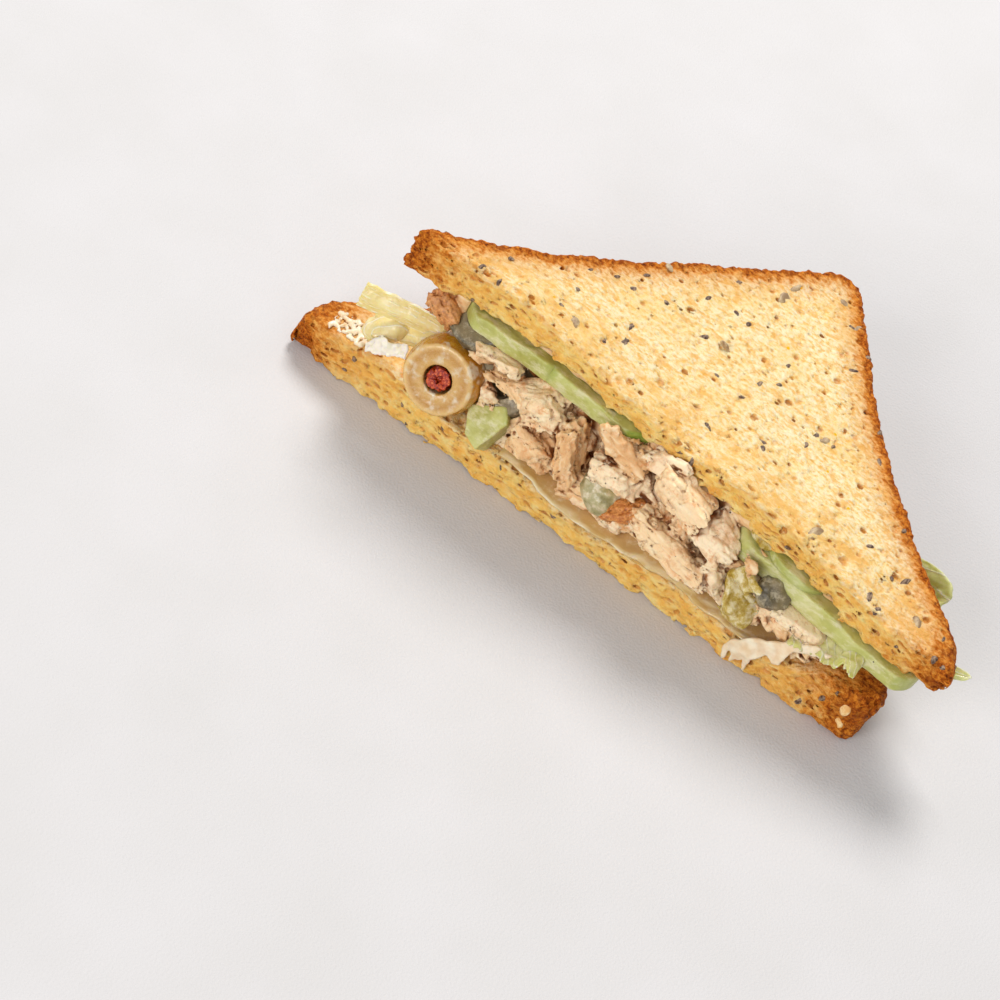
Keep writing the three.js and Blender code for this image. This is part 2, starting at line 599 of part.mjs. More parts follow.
// A leaf under the upper slice curls up round its right-hand crust, so that two ruffles show:
// a small one near the tip and a broad one further back. X + Y is the distance across the leg.
const EDGE_LEAF = { near: 8, far: 42, inside: 82, crust: 93, out: 8, low: 18.6, rise: 7.5 };
place('lettuce_edge', (gap) => sheet(15, 4, (u, v) => {
  const alongLeg = THREE.MathUtils.lerp(EDGE_LEAF.near, EDGE_LEAF.far, u);
  const ruffle = Math.exp(-(((u - 0.14) / 0.1) ** 2)) + 1.2 * Math.exp(-(((u - 0.6) / 0.16) ** 2));
  const reach = EDGE_LEAF.crust + EDGE_LEAF.out * ruffle;
  const across = THREE.MathUtils.lerp(EDGE_LEAF.inside, reach, v);
  const curl = EDGE_LEAF.rise * v ** 3 * (0.3 + 0.7 * ruffle);
  const wave = 0.9 * Math.sin(21 * u) * v;
  return new THREE.Vector3(
    across - alongLeg, alongLeg, EDGE_LEAF.low + 0.04 * alongLeg + curl + wave);
}, LEAF_THICKNESS, gap), COLOURS.greenLettuce);

// ------------------------------ chicken salad

// The heap's core fills the space between the slices, set back from the cut and the crusts.
function heapCore() {
  const low = new THREE.Vector2(-58, CORE_INSET);
  const right = new THREE.Vector2(70 - CORE_INSET, CORE_INSET + 1);
  const back = new THREE.Vector2(7, 72 - CORE_INSET);
  const outline = [];
  for (const [from, to] of [[low, right], [right, back], [back, low]]) {
    for (let i = 0; i < CORE_STEPS; i += 1) {
      const p = from.clone().lerp(to, (i + 0.5) / CORE_STEPS);
      const rough = 1.6 * lumps(p.x, p.y, 3, 6);
      outline.push(p.add(new THREE.Vector2(rough, -rough)));
    }
  }
  const middle = new THREE.Vector2(5, 24);
  const ring = (scale, z) => outline.map((p) => {
    const flat = p.clone().sub(middle).multiplyScalar(scale).add(middle);
    return new THREE.Vector3(flat.x, flat.y, z);
  });
  const rings = [ring(0.4, 60), ring(0.94, 60), ring(1, 32), ring(1.02, 22), ring(1, 12),
    ring(0.94, -5), ring(0.4, -5)];
  const block = solidOf(ringSolid(
    new THREE.Vector3(middle.x, middle.y, 60), rings, new THREE.Vector3(middle.x, middle.y, -5)));
  const gap = GAP + 2 * SLACK;
  const below = solidOf(halfSlice(BOTTOM, { gap, spread: 20, backing: 30 }));
  const above = solidOf(halfSlice(TOP, { gap, spread: 20, backing: 60 }))
    .transform(upper.matrix.elements);
  return block.subtract(below).subtract(above).simplify(SLACK);
}

// The lumps that show at the cut: the middle of the front along X, how far forward it comes, the
// height, the length and height of the lump, and its turn in the plane of the cut. Each reaches
// back into the core, and a smaller flake on it breaks its outline.
const CHUNKS_AT_CUT = [
  [-16, -1.5, 28, 12, 12, -30], [-15, -2.5, 17.5, 13, 9, 20], [-6.2, -3, 24, 7, 13, 8],
  [3.5, 0.5, 32.5, 14, 8, 18], [5, -2.4, 25.5, 15, 8.5, -12], [15.5, 3.6, 34.6, 14, 7, -6],
  [20, -1.2, 31, 18, 8.5, 14], [11.2, -2.6, 20, 8, 4.5, -38], [23.5, -3.9, 19.3, 21, 9.5, 10],
  [30, -0.2, 26.8, 11, 9, 30], [33.5, -2.6, 18.2, 9, 9, 55], [40.6, 0.3, 27, 6, 5, 0],
  [54.8, -0.6, 20.6, 14, 4.6, 20], [-44.5, 3.8, 32.5, 10, 6.5, 25], [-27.5, 0.4, 33.4, 15, 3.6, -11],
  [-2, 0.5, 17, 12, 6, -8]];
// Lumps along the two crust sides, where the filling reaches the gap between the slices.
const CHUNKS_PER_SIDE = 8;

function chickenChunk([x, frontY, z, length, height, turn], seedNumber) {
  const depth = CORE_INSET + 3.5 - frontY;
  const main = solidOf(lump([length, depth, height], seedNumber));
  const flake = solidOf(lump([length * 0.7, depth * 0.9, height * 0.55], seedNumber + 50, 0, FLAKE_POINTS))
    .translate([length * 0.22, -depth * 0.06, height * 0.3]);
  return main.add(flake).transform(pose(x, frontY + depth / 2, z, 0, turn, 0).elements);
}

function chickenSalad() {
  let heap = heapCore();
  CHUNKS_AT_CUT.forEach((chunk, i) => {
    heap = heap.add(chickenChunk(chunk, 100 + i));
  });
  const random = randomFrom(77);
  const sides = [
    { from: [68, 10], to: [10, 68] },
    { from: [-52, 12], to: [4, 68] }];
  for (const { from, to } of sides) {
    for (let i = 0; i < CHUNKS_PER_SIDE; i += 1) {
      const t = (i + 0.3 + 0.4 * random()) / CHUNKS_PER_SIDE;
      const x = THREE.MathUtils.lerp(from[0], to[0], t) - Math.sign(from[0]) * 5 * random();
      const y = THREE.MathUtils.lerp(from[1], to[1], t) - 3 * random();
      const z = THREE.MathUtils.lerp(24, 20, t) + 5 * (random() - 0.5);
      const size = [9 + 6 * random(), 8 + 4 * random(), 7 + 4 * random()];
      const turns = [40 * random() - 20, 60 * random() - 30, 90 * random()];
      const piece = solidOf(lump(size, 200 + i + Math.sign(from[0]) * 40));
      heap = heap.add(piece.transform(pose(x, y, z, ...turns).elements));
    }
  }
  return heap;
}
place('chicken_salad', chickenSalad, COLOURS.chicken, new THREE.Matrix4(), sandwich, true);

// ---------------------------------------------------------------- origin

// The origin goes under the middle of the bounding box, on the surface below.
sandwich.updateMatrixWorld(true);
const box = new THREE.Box3().setFromObject(sandwich, true);
const model = new THREE.Group();
sandwich.position.set(-(box.min.x + box.max.x) / 2, -(box.min.y + box.max.y) / 2, -box.min.z);
model.add(sandwich);

export default model;
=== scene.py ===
"""A chicken salad sandwich: half of a toast sandwich, cut from corner to corner.

Everything is modelled in millimetres from the middle of the cut: +X runs along the cut, +Y goes
back to the right-angled corner, and Z = 0 is the table. Solid food is carved out of signed
distances on a regular grid (negative inside), and leaves are thin wavy sheets.
"""

import math

import bmesh
import bpy
import numpy as np
from mathutils import Euler, Matrix, Vector
from mathutils.bvhtree import BVHTree


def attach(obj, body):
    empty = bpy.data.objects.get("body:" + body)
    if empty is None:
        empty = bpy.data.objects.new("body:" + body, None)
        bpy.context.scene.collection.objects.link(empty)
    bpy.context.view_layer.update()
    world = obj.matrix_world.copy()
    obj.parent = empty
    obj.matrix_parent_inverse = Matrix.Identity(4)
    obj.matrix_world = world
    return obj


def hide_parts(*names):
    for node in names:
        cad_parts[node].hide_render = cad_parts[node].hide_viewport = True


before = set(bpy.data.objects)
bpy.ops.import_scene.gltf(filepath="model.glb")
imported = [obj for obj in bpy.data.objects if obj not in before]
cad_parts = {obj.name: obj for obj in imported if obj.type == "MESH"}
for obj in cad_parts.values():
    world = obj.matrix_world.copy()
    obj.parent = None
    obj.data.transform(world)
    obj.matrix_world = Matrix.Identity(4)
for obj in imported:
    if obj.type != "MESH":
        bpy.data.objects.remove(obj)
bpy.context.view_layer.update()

# ------------------------------------------------------------------ driving dimensions, mm

MM = 0.001
CUT_ORIGIN = np.array([-6.212, -37.029, 0.0])  # the middle of the cut in the part's own frame
COARSE = 1.0
MOST_TRIANGLES = 190000  # of one piece
FLOOR_GAP = 0.05

BREAD_STEP = 0.36
HEAP_STEP = 0.36
HEAP_GAP = 0.15  # between the salad and the slices
SMALL_STEP = 0.3
BREAD_THICKNESS = 12.2
SQUEEZE_DEPTH = 24
RIM = 1.3
TIP_RIM = 2.6  # the edges are rounder towards the tips
TIP_SPAN = (60, 74)  # where along the cut they get so
LEANS_FROM = 28  # from here outwards the crust leans
CRUST_BAND = 2.6  # how far the crust's brown reaches over the broad faces
# A tip's reach along the cut, its radius in plan, how far the crust sags inwards and where it is
# deepest, how far its brown reaches, and how round its upright edge with the cut is
BOTTOM = dict(
    left=dict(reach=79, radius=8, sag=3.4, deepest=0.5, brown=7, turn=2.4),
    right=dict(reach=80, radius=9, sag=3.8, deepest=0.5, brown=9, turn=3.6),
    apex=dict(reach=78, radius=7), overcut=3.5, lean=2.6, seed=3)
TOP = dict(
    left=dict(reach=73.6, radius=5, sag=4.2, deepest=0.3, brown=6, turn=0.6),
    right=dict(reach=77.6, radius=12, sag=4.9, deepest=0.45, brown=6, turn=3),
    apex=dict(reach=76.6, radius=6), overcut=0, lean=0, seed=11)
# [distance along the cut, thickness of the lower slice there]
BOTTOM_AT_CUT = [
    (-75, 10.8), (-56, 12.2), (-47, 12.2), (-32, 9.6), (-20, 10.2), (-4, 7.8), (4, 6.7), (14, 8.2),
    (28, 9.2), (38, 8.4), (47, 7.2), (56, 11.2), (65, 14.2), (75, 15.2)]
# The upper slice along the cut: thickness, and how far its upper edge is lifted
TOP_AT_CUT = [
    (-72, 12.8), (-62, 11.2), (-54, 9.2), (-42, 7.6), (-30, 6.2), (-16, 5.6), (-2, 5.6),
    (8, 6.6), (23, 6.8), (35, 6.4), (42, 7.8), (56, 8.8), (72, 8)]
TOP_LIFT = [
    (-72, -1.2), (-54, 0.2), (-44, 1.8), (-32, 1.3), (-12, 0.2), (2, -0.6), (16, 1.4), (30, 0.8),
    (42, -0.6), (52, -1.6), (72, -1.6)]


# ------------------------------------------------------------------ places


class Place:
    """Where a piece's own frame lies: a rotation and an origin."""

    def __init__(self, origin=(0, 0, 0), turns=(0, 0, 0), order="XYZ", rotation=None):
        self.origin = np.array(origin, float)
        if rotation is None:
            rotation = Euler([math.radians(a) for a in turns], order).to_matrix()
        self.rotation = np.array(rotation, float)

    def out(self, points):
        return points @ self.rotation.T + self.origin

    def into(self, points):
        return (points - self.origin) @ self.rotation

    def then(self, inner):
        return Place(self.out(inner.origin), rotation=self.rotation @ inner.rotation)


CUT = Place()
TOP_PLACE = Place((14.5, 6, 40.8), (-3, 6.8, 0), "ZYX")  # the upper slice has slipped to the right


def facing(origin, direction):
    """A place whose own Z points in the given direction."""
    turn = Vector(direction).to_track_quat("Z", "Y")
    return Place(origin, rotation=turn.to_matrix())


# ------------------------------------------------------------------ noise

table = np.random.default_rng(7)
PERM = table.permutation(256).astype(np.int32)
PERM = np.concatenate([PERM, PERM])
GRADIENTS = table.normal(size=(256, 3)).astype(np.float32)
GRADIENTS /= np.linalg.norm(GRADIENTS, axis=1, keepdims=True)
JITTER = table.uniform(0.12, 0.88, (256, 3)).astype(np.float32)
SPREAD = table.uniform(0, 1, 256).astype(np.float32)


def smoothstep(x, low, high):
    t = np.clip((x - low) / (high - low), 0, 1)
    return t * t * (3 - 2 * t)


def fade(x, low, high):
    return 1 - smoothstep(x, low, high)


def noise(x, y, z, seed=0):
    """Smooth gradient noise, about -1 to 1, with features about one unit across."""
    x, y, z = np.broadcast_arrays(*(np.asarray(a, np.float32) for a in (x, y, z)))
    xi, yi, zi = (np.floor(a).astype(np.int32) for a in (x, y, z))
    fx, fy, fz = x - xi, y - yi, z - zi
    u, v, w = (f * f * f * (f * (f * 6 - 15) + 10) for f in (fx, fy, fz))
    total = np.zeros(x.shape, np.float32)
    for dx in (0, 1):
        a = PERM[(xi + dx + 37 * seed) & 255]
        along_x = u if dx else 1 - u
        for dy in (0, 1):
            b = PERM[(a + yi + dy) & 255]
            along_y = along_x * (v if dy else 1 - v)
            for dz in (0, 1):
                g = GRADIENTS[PERM[(b + zi + dz) & 255]]
                dot = g[..., 0] * (fx - dx) + g[..., 1] * (fy - dy) + g[..., 2] * (fz - dz)
                total += along_y * (w if dz else 1 - w) * dot
    return total * 1.7


def bubbles(x, y, z, seed, small, big, rarity):
    """How far inside the nearest of many scattered balls a point is, with one ball to each unit
    cell: positive inside. Most balls are small; a higher rarity makes big ones rarer."""
    xi, yi, zi = (np.floor(a).astype(np.int32) for a in (x, y, z))
    deepest = np.full(x.shape, -1, np.float32)
    for dx in (-1, 0, 1):
        a = PERM[(xi + dx + 53 * seed) & 255]
        for dy in (-1, 0, 1):
            b = PERM[(a + yi + dy) & 255]
            for dz in (-1, 0, 1):
                c = PERM[(b + zi + dz) & 255]
                at = JITTER[c]
                gap = np.sqrt((xi + dx + at[:, 0] - x) ** 2 + (yi + dy + at[:, 1] - y) ** 2
                              + (zi + dz + at[:, 2] - z) ** 2)
                radius = small + (big - small) * SPREAD[c] ** rarity
                np.maximum(deepest, radius - gap, out=deepest)
    return deepest


def ripple(x, y, z, size, seed):
    """Noise with features of the given size."""
    return noise(x / size, y / size, z / size, seed)


# ------------------------------------------------------------------ grids of distances

FAR = 9.0


def listed(x, y, z):
    return np.stack([x, y, z], -1).reshape(-1, 3)


class Field:
    """Signed distances on a regular grid."""

    def __init__(self, low, high, step):
        self.low, self.step = np.array(low, float), step
        self.count = np.ceil((np.array(high, float) - self.low) / step).astype(int) + 1
        self.values = np.full(self.count, FAR, np.float32)
        self.owner = np.zeros(self.count, np.int16)  # the joined shape that a point is nearest to

    def axes(self, start=(0, 0, 0), stop=None):
        spans = zip(self.low, start, self.count if stop is None else stop)
        return [(low + self.step * np.arange(a, b)).astype(np.float32) for low, a, b in spans]

    def grid(self, sparse=True):
        return np.meshgrid(*self.axes(), indexing="ij", sparse=sparse)

    def unite(self, low, high, distance, blend=0.0, owner=None):
        """Joins a shape to the field inside a box."""
        start = np.floor((np.array(low) - self.low) / self.step)
        stop = np.ceil((np.array(high) - self.low) / self.step) + 1
        start, stop = (np.clip(end, 0, self.count).astype(int) for end in (start, stop))
        if (stop <= start).any():
            return
        window = tuple(slice(a, b) for a, b in zip(start, stop))
        x, y, z = np.meshgrid(*self.axes(start, stop), indexing="ij")
        new, old = distance(x, y, z).astype(np.float32), self.values[window]
        if owner is not None:
            self.owner[window] = np.where(new < old, owner, self.owner[window])
        if blend > 0:
            h = np.clip(0.5 + 0.5 * (old - new) / blend, 0, 1)
            self.values[window] = old + (new - old) * h - blend * h * (1 - h)
        else:
            self.values[window] = np.minimum(old, new)

    def carve(self, low, high, distance, gap):
        """Takes a shape away inside a box, with a gap round it."""
        self.values = -self.values
        self.unite(low, high, lambda x, y, z: distance(x, y, z) - gap)
        self.values = -self.values

    def sample(self, points, values):
        """The values on the grid, eased between its points."""
        q = (points - self.low) / self.step
        corner = np.clip(np.floor(q).astype(int), 0, self.count - 2)
        part = q - corner
        total = np.zeros(len(points), np.float32)
        for offset in np.ndindex(2, 2, 2):
            sides = [part[:, k] if ahead else 1 - part[:, k] for k, ahead in enumerate(offset)]
            weight = np.prod(sides, axis=0)
            total += weight * values[tuple((corner + offset).T)]
        return total

    def owners(self, points):
        q = np.rint((points - self.low) / self.step).astype(int)
        return self.owner[tuple(np.clip(q, 0, self.count - 1).T)]

    def surface(self):
        """The surface where the distance is zero, as points and quads."""
        v = self.values.copy()
        for k in range(3):  # closes what reaches the grid's sides
            end = [slice(None)] * 3
            for end[k] in (0, -1):
                v[tuple(end)] = np.maximum(v[tuple(end)], 0.01)
        inside = v < 0
        n = np.array(v.shape) - 1
        total = np.zeros(n, np.int8)
        for i, j, k in np.ndindex(2, 2, 2):
            total += inside[i:n[0] + i, j:n[1] + j, k:n[2] + k]
        active = (total > 0) & (total < 8)
        cell = np.argwhere(active)
        index = np.full(n, -1, np.int32)
        index[active] = np.arange(len(cell))
        summed, crossings = np.zeros((len(cell), 3)), np.zeros(len(cell))
        for axis in range(3):
            others = [k for k in range(3) if k != axis]
            for offset in np.ndindex(2, 2):
                start, ahead = np.zeros(3, int), np.eye(3, dtype=int)[axis]
                start[others] = offset
                a, b = v[tuple((cell + start).T)], v[tuple((cell + start + ahead).T)]
                cross = (a < 0) != (b < 0)
                summed[cross] += start + ahead * (a[cross] / (a[cross] - b[cross]))[:, None]
                crossings[cross] += 1
        points = self.low + self.step * (cell + summed / crossings[:, None])
        quads = []
        for axis in range(3):
            u, w = (axis + 1) % 3, (axis + 2) % 3
            first, second = [slice(None)] * 3, [slice(None)] * 3
            first[axis], second[axis] = slice(0, -1), slice(1, None)
            at = np.argwhere(inside[tuple(first)] != inside[tuple(second)])
            at = at[(at[:, u] > 0) & (at[:, w] > 0) & (at[:, u] < n[u]) & (at[:, w] < n[w])]
            step_u, step_w = np.eye(3, dtype=int)[[u, w]]
            around = [at - step_u - step_w, at - step_w, at, at - step_u]
            quad = np.stack([index[tuple(corner.T)] for corner in around], 1)
            outwards = ~inside[tuple(at.T)]
            quad[outwards] = quad[outwards][:, ::-1]
            quads.append(quad)
        return points, np.concatenate(quads)


def grown(mask, within, rounds):
    """The part of `within` that is reached from mask in so many steps."""
    mask = mask & within
    for _ in range(rounds):
        wide = mask.copy()
        for k in range(3):
            a, b = [slice(None)] * 3, [slice(None)] * 3
            a[k], b[k] = slice(1, None), slice(0, -1)
            wide[tuple(a)] |= mask[tuple(b)]
            wide[tuple(b)] |= mask[tuple(a)]
        mask = wide & within
    return mask


# ------------------------------------------------------------------ pieces


def make_mesh(name, points, faces):
    mesh = bpy.data.meshes.new(name)
    mesh.vertices.add(len(points))
    mesh.vertices.foreach_set("co", (points * MM).astype(np.float32).ravel())
    mesh.loops.add(faces.size)
    mesh.loops.foreach_set("vertex_index", faces.astype(np.int32).ravel())
    mesh.polygons.add(len(faces))
    starts = np.arange(0, faces.size, faces.shape[1], dtype=np.int32)
    mesh.polygons.foreach_set("loop_start", starts)
    mesh.polygons.foreach_set("use_smooth", np.ones(len(faces), bool))
    mesh.update(calc_edges=True)
    mesh.validate()
    return mesh


def thinned(obj, most):
    """Merges the flattest facets until the piece has no more triangles than `most`."""
    triangles = sum(len(p.vertices) - 2 for p in obj.data.polygons)
    if triangles <= most:
        return
    modifier = obj.modifiers.new("thin", "DECIMATE")
    modifier.ratio = most / triangles
    graph = bpy.context.evaluated_depsgraph_get()
    mesh = bpy.data.meshes.new_from_object(obj.evaluated_get(graph))
    obj.modifiers.clear()
    obj.data = mesh
    mesh.polygons.foreach_set("use_smooth", np.ones(len(mesh.polygons), bool))


def points_of(mesh):
    co, normals = np.zeros((2, len(mesh.vertices) * 3), np.float32)
    mesh.vertices.foreach_get("co", co)
    mesh.vertex_normals.foreach_get("vector", normals)
    return co.reshape(-1, 3) / MM, normals.reshape(-1, 3)


def placed(obj):
    """Puts a new object into the scene."""
    bpy.context.scene.collection.objects.link(obj)
    return obj


def piece(name, points, faces, look, slot, nodes=(), place=CUT, values=None, most=MOST_TRIANGLES):
    """Adds a piece whose points are in the frame of `place`. values(points, normals), in that
    frame, gives the numbers that its material uses."""
    mesh = make_mesh(name, place.out(points) + CUT_ORIGIN, faces)
    obj = placed(bpy.data.objects.new(name, mesh))
    thinned(obj, most)
    if values is not None:
        at, normals = points_of(obj.data)
        for key, value in values(place.into(at - CUT_ORIGIN), normals @ place.rotation).items():
            attribute = obj.data.attributes.new(key, "FLOAT", "POINT")
            attribute.data.foreach_set("value", np.asarray(value, np.float32))
    obj.data.materials.clear()
    obj.data.materials.append(LOOKS[look])
    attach(obj, "root")
    if nodes:
        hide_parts(*nodes)
    return obj


def carved(name, high, distance, look, slot, nodes=(), place=CUT, values=None, most=60000, low=None,
           step=SMALL_STEP):
    """A piece from one distance function in its own frame, in a box that is the same on both sides
    of its origin unless its lower end is given too."""
    field = Field(-np.array(high) if low is None else low, high, step * COARSE)
    field.unite(field.low, high, distance)
    return piece(name, *field.surface(), look, slot, nodes, place, values, most)


# ------------------------------------------------------------------ materials


def srgb(colour):
    """A shader's colour from one as it is seen on screen, 0 to 255."""
    c = np.array(colour, float) / 255
    return (*np.where(c <= 0.04045, c / 12.92, ((c + 0.055) / 1.055) ** 2.4), 1.0)


class Look:
    """A node material in the making, with sizes in millimetres and colours as they are seen."""

    def __init__(self, name, shine, soft=(), coat=0, clear=0):
        """soft says how much light scatters inside, how far, and each colour's part of that."""
        self.material = bpy.data.materials.new(name)
        self.material.use_nodes = True
        self.nodes, self.links = self.material.node_tree.nodes, self.material.node_tree.links
        self.shader = self.nodes["Principled BSDF"]
        self.position = self.nodes.new("ShaderNodeTexCoord").outputs["Object"]
        self.fill(self.shader, {"Specular IOR Level": shine, "Coat Weight": coat,
                                "Transmission Weight": clear})
        if soft:
            weight, reach, parts = soft
            self.fill(self.shader, {"Subsurface Weight": weight, "Subsurface Scale": reach * MM,
                                    "Subsurface Radius": parts})

    def put(self, socket, value):
        if isinstance(value, bpy.types.NodeSocket):
            self.links.new(value, socket)
        else:
            socket.default_value = srgb(value) if socket.type == "RGBA" else value

    def fill(self, node, inputs):
        for key, value in inputs.items():
            self.put(node.inputs[key], value)

    def add(self, kind, output, inputs, **settings):
        node = self.nodes.new(kind)
        for key, value in settings.items():
            setattr(node, key, value)
        self.fill(node, inputs)
        return node.outputs[output]

    def attribute(self, name):
        return self.add("ShaderNodeAttribute", "Fac", {}, attribute_name=name)

    def noise(self, size, detail=2, roughness=0.5, stretch=(1, 1, 1)):
        scaled = self.add("ShaderNodeMapping", "Vector", {
            "Vector": self.position, "Scale": stretch})
        return self.add("ShaderNodeTexNoise", "Fac", {
            "Vector": scaled, "Scale": 1 / (size * MM), "Detail": detail, "Roughness": roughness})

    def span(self, value, low, high, to_low=0, to_high=1, easing="SMOOTHSTEP"):
        return self.add("ShaderNodeMapRange", "Result", {
            "Value": value, "From Min": low, "From Max": high, "To Min": to_low, "To Max": to_high},
            interpolation_type=easing)

    def plus(self, a, b):
        return self.add("ShaderNodeMath", 0, {0: a, 1: b}, operation="ADD")

    def times(self, a, b):
        return self.add("ShaderNodeMath", 0, {0: a, 1: b}, operation="MULTIPLY")

    def mix(self, factor, *colours):
        node = self.nodes.new("ShaderNodeMix")
        node.data_type = "RGBA"
        self.put(node.inputs["Factor"], factor)
        for socket, colour in zip([s for s in node.inputs if s.type == "RGBA"], colours):
            self.put(socket, colour)
        return [s for s in node.outputs if s.type == "RGBA"][0]

    def tint(self, colour, other, value, low, high, most=1):
        """Turns a colour into another one as a value goes from low to high."""
        return self.mix(self.span(value, low, high, 0, most), colour, other)

    def specks(self, colour, speck, size, high, low):
        """Specks of one colour on another, one to each cell of the given size."""
        middle = self.add("ShaderNodeTexVoronoi", "Distance", {
            "Vector": self.position, "Scale": 1 / (size * MM)})
        return self.tint(colour, speck, middle, high, low)

    def ramp(self, factor, *stops):
        """A colour, or a grey from 0 to 1, at each position in turn."""
        node = self.nodes.new("ShaderNodeValToRGB")
        for _ in stops[4::2]:
            node.color_ramp.elements.new(0.5)
        for element, position, colour in zip(node.color_ramp.elements, stops[::2], stops[1::2]):
            grey = not isinstance(colour, tuple)
            element.position, element.color = position, (*[colour] * 3, 1) if grey else srgb(colour)
        self.put(node.inputs["Fac"], factor)
        return node.outputs["Color"]

    def done(self, colour, roughness, height, depth):
        """The material, with relief of the given depth."""
        relief = self.add("ShaderNodeBump", "Normal", {"Height": height, "Distance": depth * MM})
        self.fill(self.shader, {"Base Color": colour, "Roughness": roughness, "Normal": relief})
        return self.material


def bread_look():
    look = Look("bread", 0.12, (0.22, 1.4, (1, 0.6, 0.25)))
    rim, depth, cut, near_cut = map(look.attribute, ("rim", "depth", "cut", "near_cut"))
    flat = (0.6, 1, 1)  # the crumb's pores are drawn out
    broad, middling = look.noise(13, 3), look.noise(2.8, 4, 0.65, flat)
    fine, dust = look.noise(0.8, 3, 0.65, flat), look.noise(0.28, 2, 0.6)
    crumb = look.ramp(fine, 0.3, (238, 178, 88), 0.45, (252, 218, 152), 0.6, (255, 238, 196))
    crumb = look.tint(crumb, (250, 204, 118), broad, 0.42, 0.75, 0.5)
    crumb = look.tint(crumb, (242, 180, 88), middling, 0.52, 0.66, 0.7)
    crumb = look.specks(crumb, (246, 190, 20), 8, 0.06, 0.04)
    darker = look.times(near_cut, look.span(middling, 0.4, 0.6, 0.15, 0.6))
    crumb = look.mix(darker, crumb, (242, 186, 98))
    torn = look.ramp(middling, 0.25, (234, 158, 62), 0.5, (252, 200, 104), 0.75, (255, 232, 160))
    torn = look.tint(torn, (255, 230, 168), fine, 0.5, 0.75, 0.5)
    colour = look.mix(cut, crumb, torn)
    # painted shade: the crumb turns a darker golden down in its pores and hollows, by their depth
    pore = look.span(look.plus(depth, look.span(dust, 0.3, 0.7, -0.12, 0.12)), 0.1, 0.8)
    pore = look.times(pore, look.span(cut, 0, 1, 0.6, 0.65))
    colour = look.mix(pore, colour, look.tint((226, 150, 60), (206, 128, 46), cut, 0, 1))
    ragged = look.plus(rim, look.span(middling, 0.3, 0.7, -1.2, 1.2, "LINEAR"))
    ragged = look.plus(ragged, look.span(fine, 0.3, 0.7, -0.8, 0.8, "LINEAR"))
    golden = look.ramp(fine, 0.3, (196, 104, 22), 0.7, (238, 162, 66))
    toast = look.ramp(look.span(ragged, 0, 10, easing="LINEAR"), 0.26, 0.95, 0.5, 0.35, 1, 0)
    colour = look.mix(toast, colour, golden)
    crust = look.ramp(look.noise(1, 4, 0.75),
                      0.34, (92, 36, 4), 0.48, (174, 86, 14), 0.62, (222, 136, 42))
    crust = look.tint(crust, (128, 56, 8), look.noise(6, 3), 0.5, 0.7, 0.5)
    colour = look.tint(colour, crust, ragged, CRUST_BAND + 0.6, CRUST_BAND - 1.4)
    relief = look.plus(look.times(fine, 0.7), look.times(dust, 0.4))
    return look.done(colour, look.span(rim, 0, 3, 0.65, 0.85), relief, 0.9)


def seed_look(name, dark, light, size=0.6):
    look = Look(name, 0.4)
    grain = look.noise(size, 3, 0.7, (1, 0.5, 1))
    return look.done(look.ramp(grain, 0.4, dark, 0.68, light), 0.5, grain, 0.25)


def chicken_look():
    look = Look("chicken", 0.45, (0.16, 1.6, (1, 0.6, 0.3)))
    tone, fibre, hollow, season = map(look.attribute, ("tone", "fibre", "hollow", "season"))
    fine = look.noise(0.8, 3, 0.65)
    meat = look.ramp(tone, 0, (230, 178, 120), 0.5, (246, 208, 156), 1, (255, 232, 196))
    meat = look.tint(meat, (255, 234, 194), fibre, -0.2, 0.8, 0.7)
    meat = look.tint(meat, (218, 158, 96), look.noise(4, 4, 0.65), 0.48, 0.66, 0.6)
    # painted shade: dark brown where the meat lies shut in between the lumps
    meat = look.tint(meat, (140, 78, 32), hollow, 0.3, 0.9, 0.95)
    spice = look.times(look.span(look.noise(2.4, 4, 0.7), 0.55, 0.68), 0.5)
    meat = look.mix(spice, meat, (222, 136, 58))
    meat = look.mix(season, meat, look.ramp(fine, 0.35, (168, 88, 30), 0.65, (230, 158, 84)))
    meat = look.specks(meat, (52, 34, 24), 3.6, 0.07, 0.045)
    meat = look.specks(meat, (200, 84, 34), 5.2, 0.06, 0.035)
    rough = look.span(look.noise(1.8, 3), 0.35, 0.7, 0.34, 0.62)
    return look.done(meat, rough, look.plus(look.times(fibre, 0.3), fine), 0.3)


def mayo_look():
    look = Look("dressing", 0.5, (0.4, 2, (1, 0.7, 0.5)), 0.15)
    colour = look.ramp(look.noise(2.6, 3), 0.3, (232, 198, 156), 0.7, (250, 232, 204))
    colour = look.specks(colour, (60, 44, 34), 2.6, 0.075, 0.05)
    return look.done(colour, 0.32, look.noise(0.7, 3), 0.12)


def cucumber_look():
    look = Look("cucumber", 0.45, (0.3, 2, (1, 0.95, 0.5)))
    skin, core = map(look.attribute, ("skin", "core"))
    broad, fine = look.noise(6, 3, 0.6), look.noise(0.9, 3, 0.6, (0.5, 0.5, 1))
    flesh = look.ramp(broad, 0.3, (166, 164, 78), 0.5, (190, 190, 108), 0.75, (212, 210, 148))
    flesh = look.mix(look.times(core, 0.6), flesh, (208, 200, 128))
    film = look.times(look.span(look.noise(2.2, 5, 0.75, (0.5, 1, 1)), 0.45, 0.65), 0.6)
    flesh = look.mix(film, flesh, (228, 220, 184))
    colour = look.mix(skin, flesh, look.ramp(fine, 0.3, (112, 136, 34), 0.7, (164, 178, 76)))
    colour = look.specks(colour, (60, 52, 34), 5.5, 0.04, 0.025)
    return look.done(colour, look.span(broad, 0.3, 0.7, 0.32, 0.55), fine, 0.22)


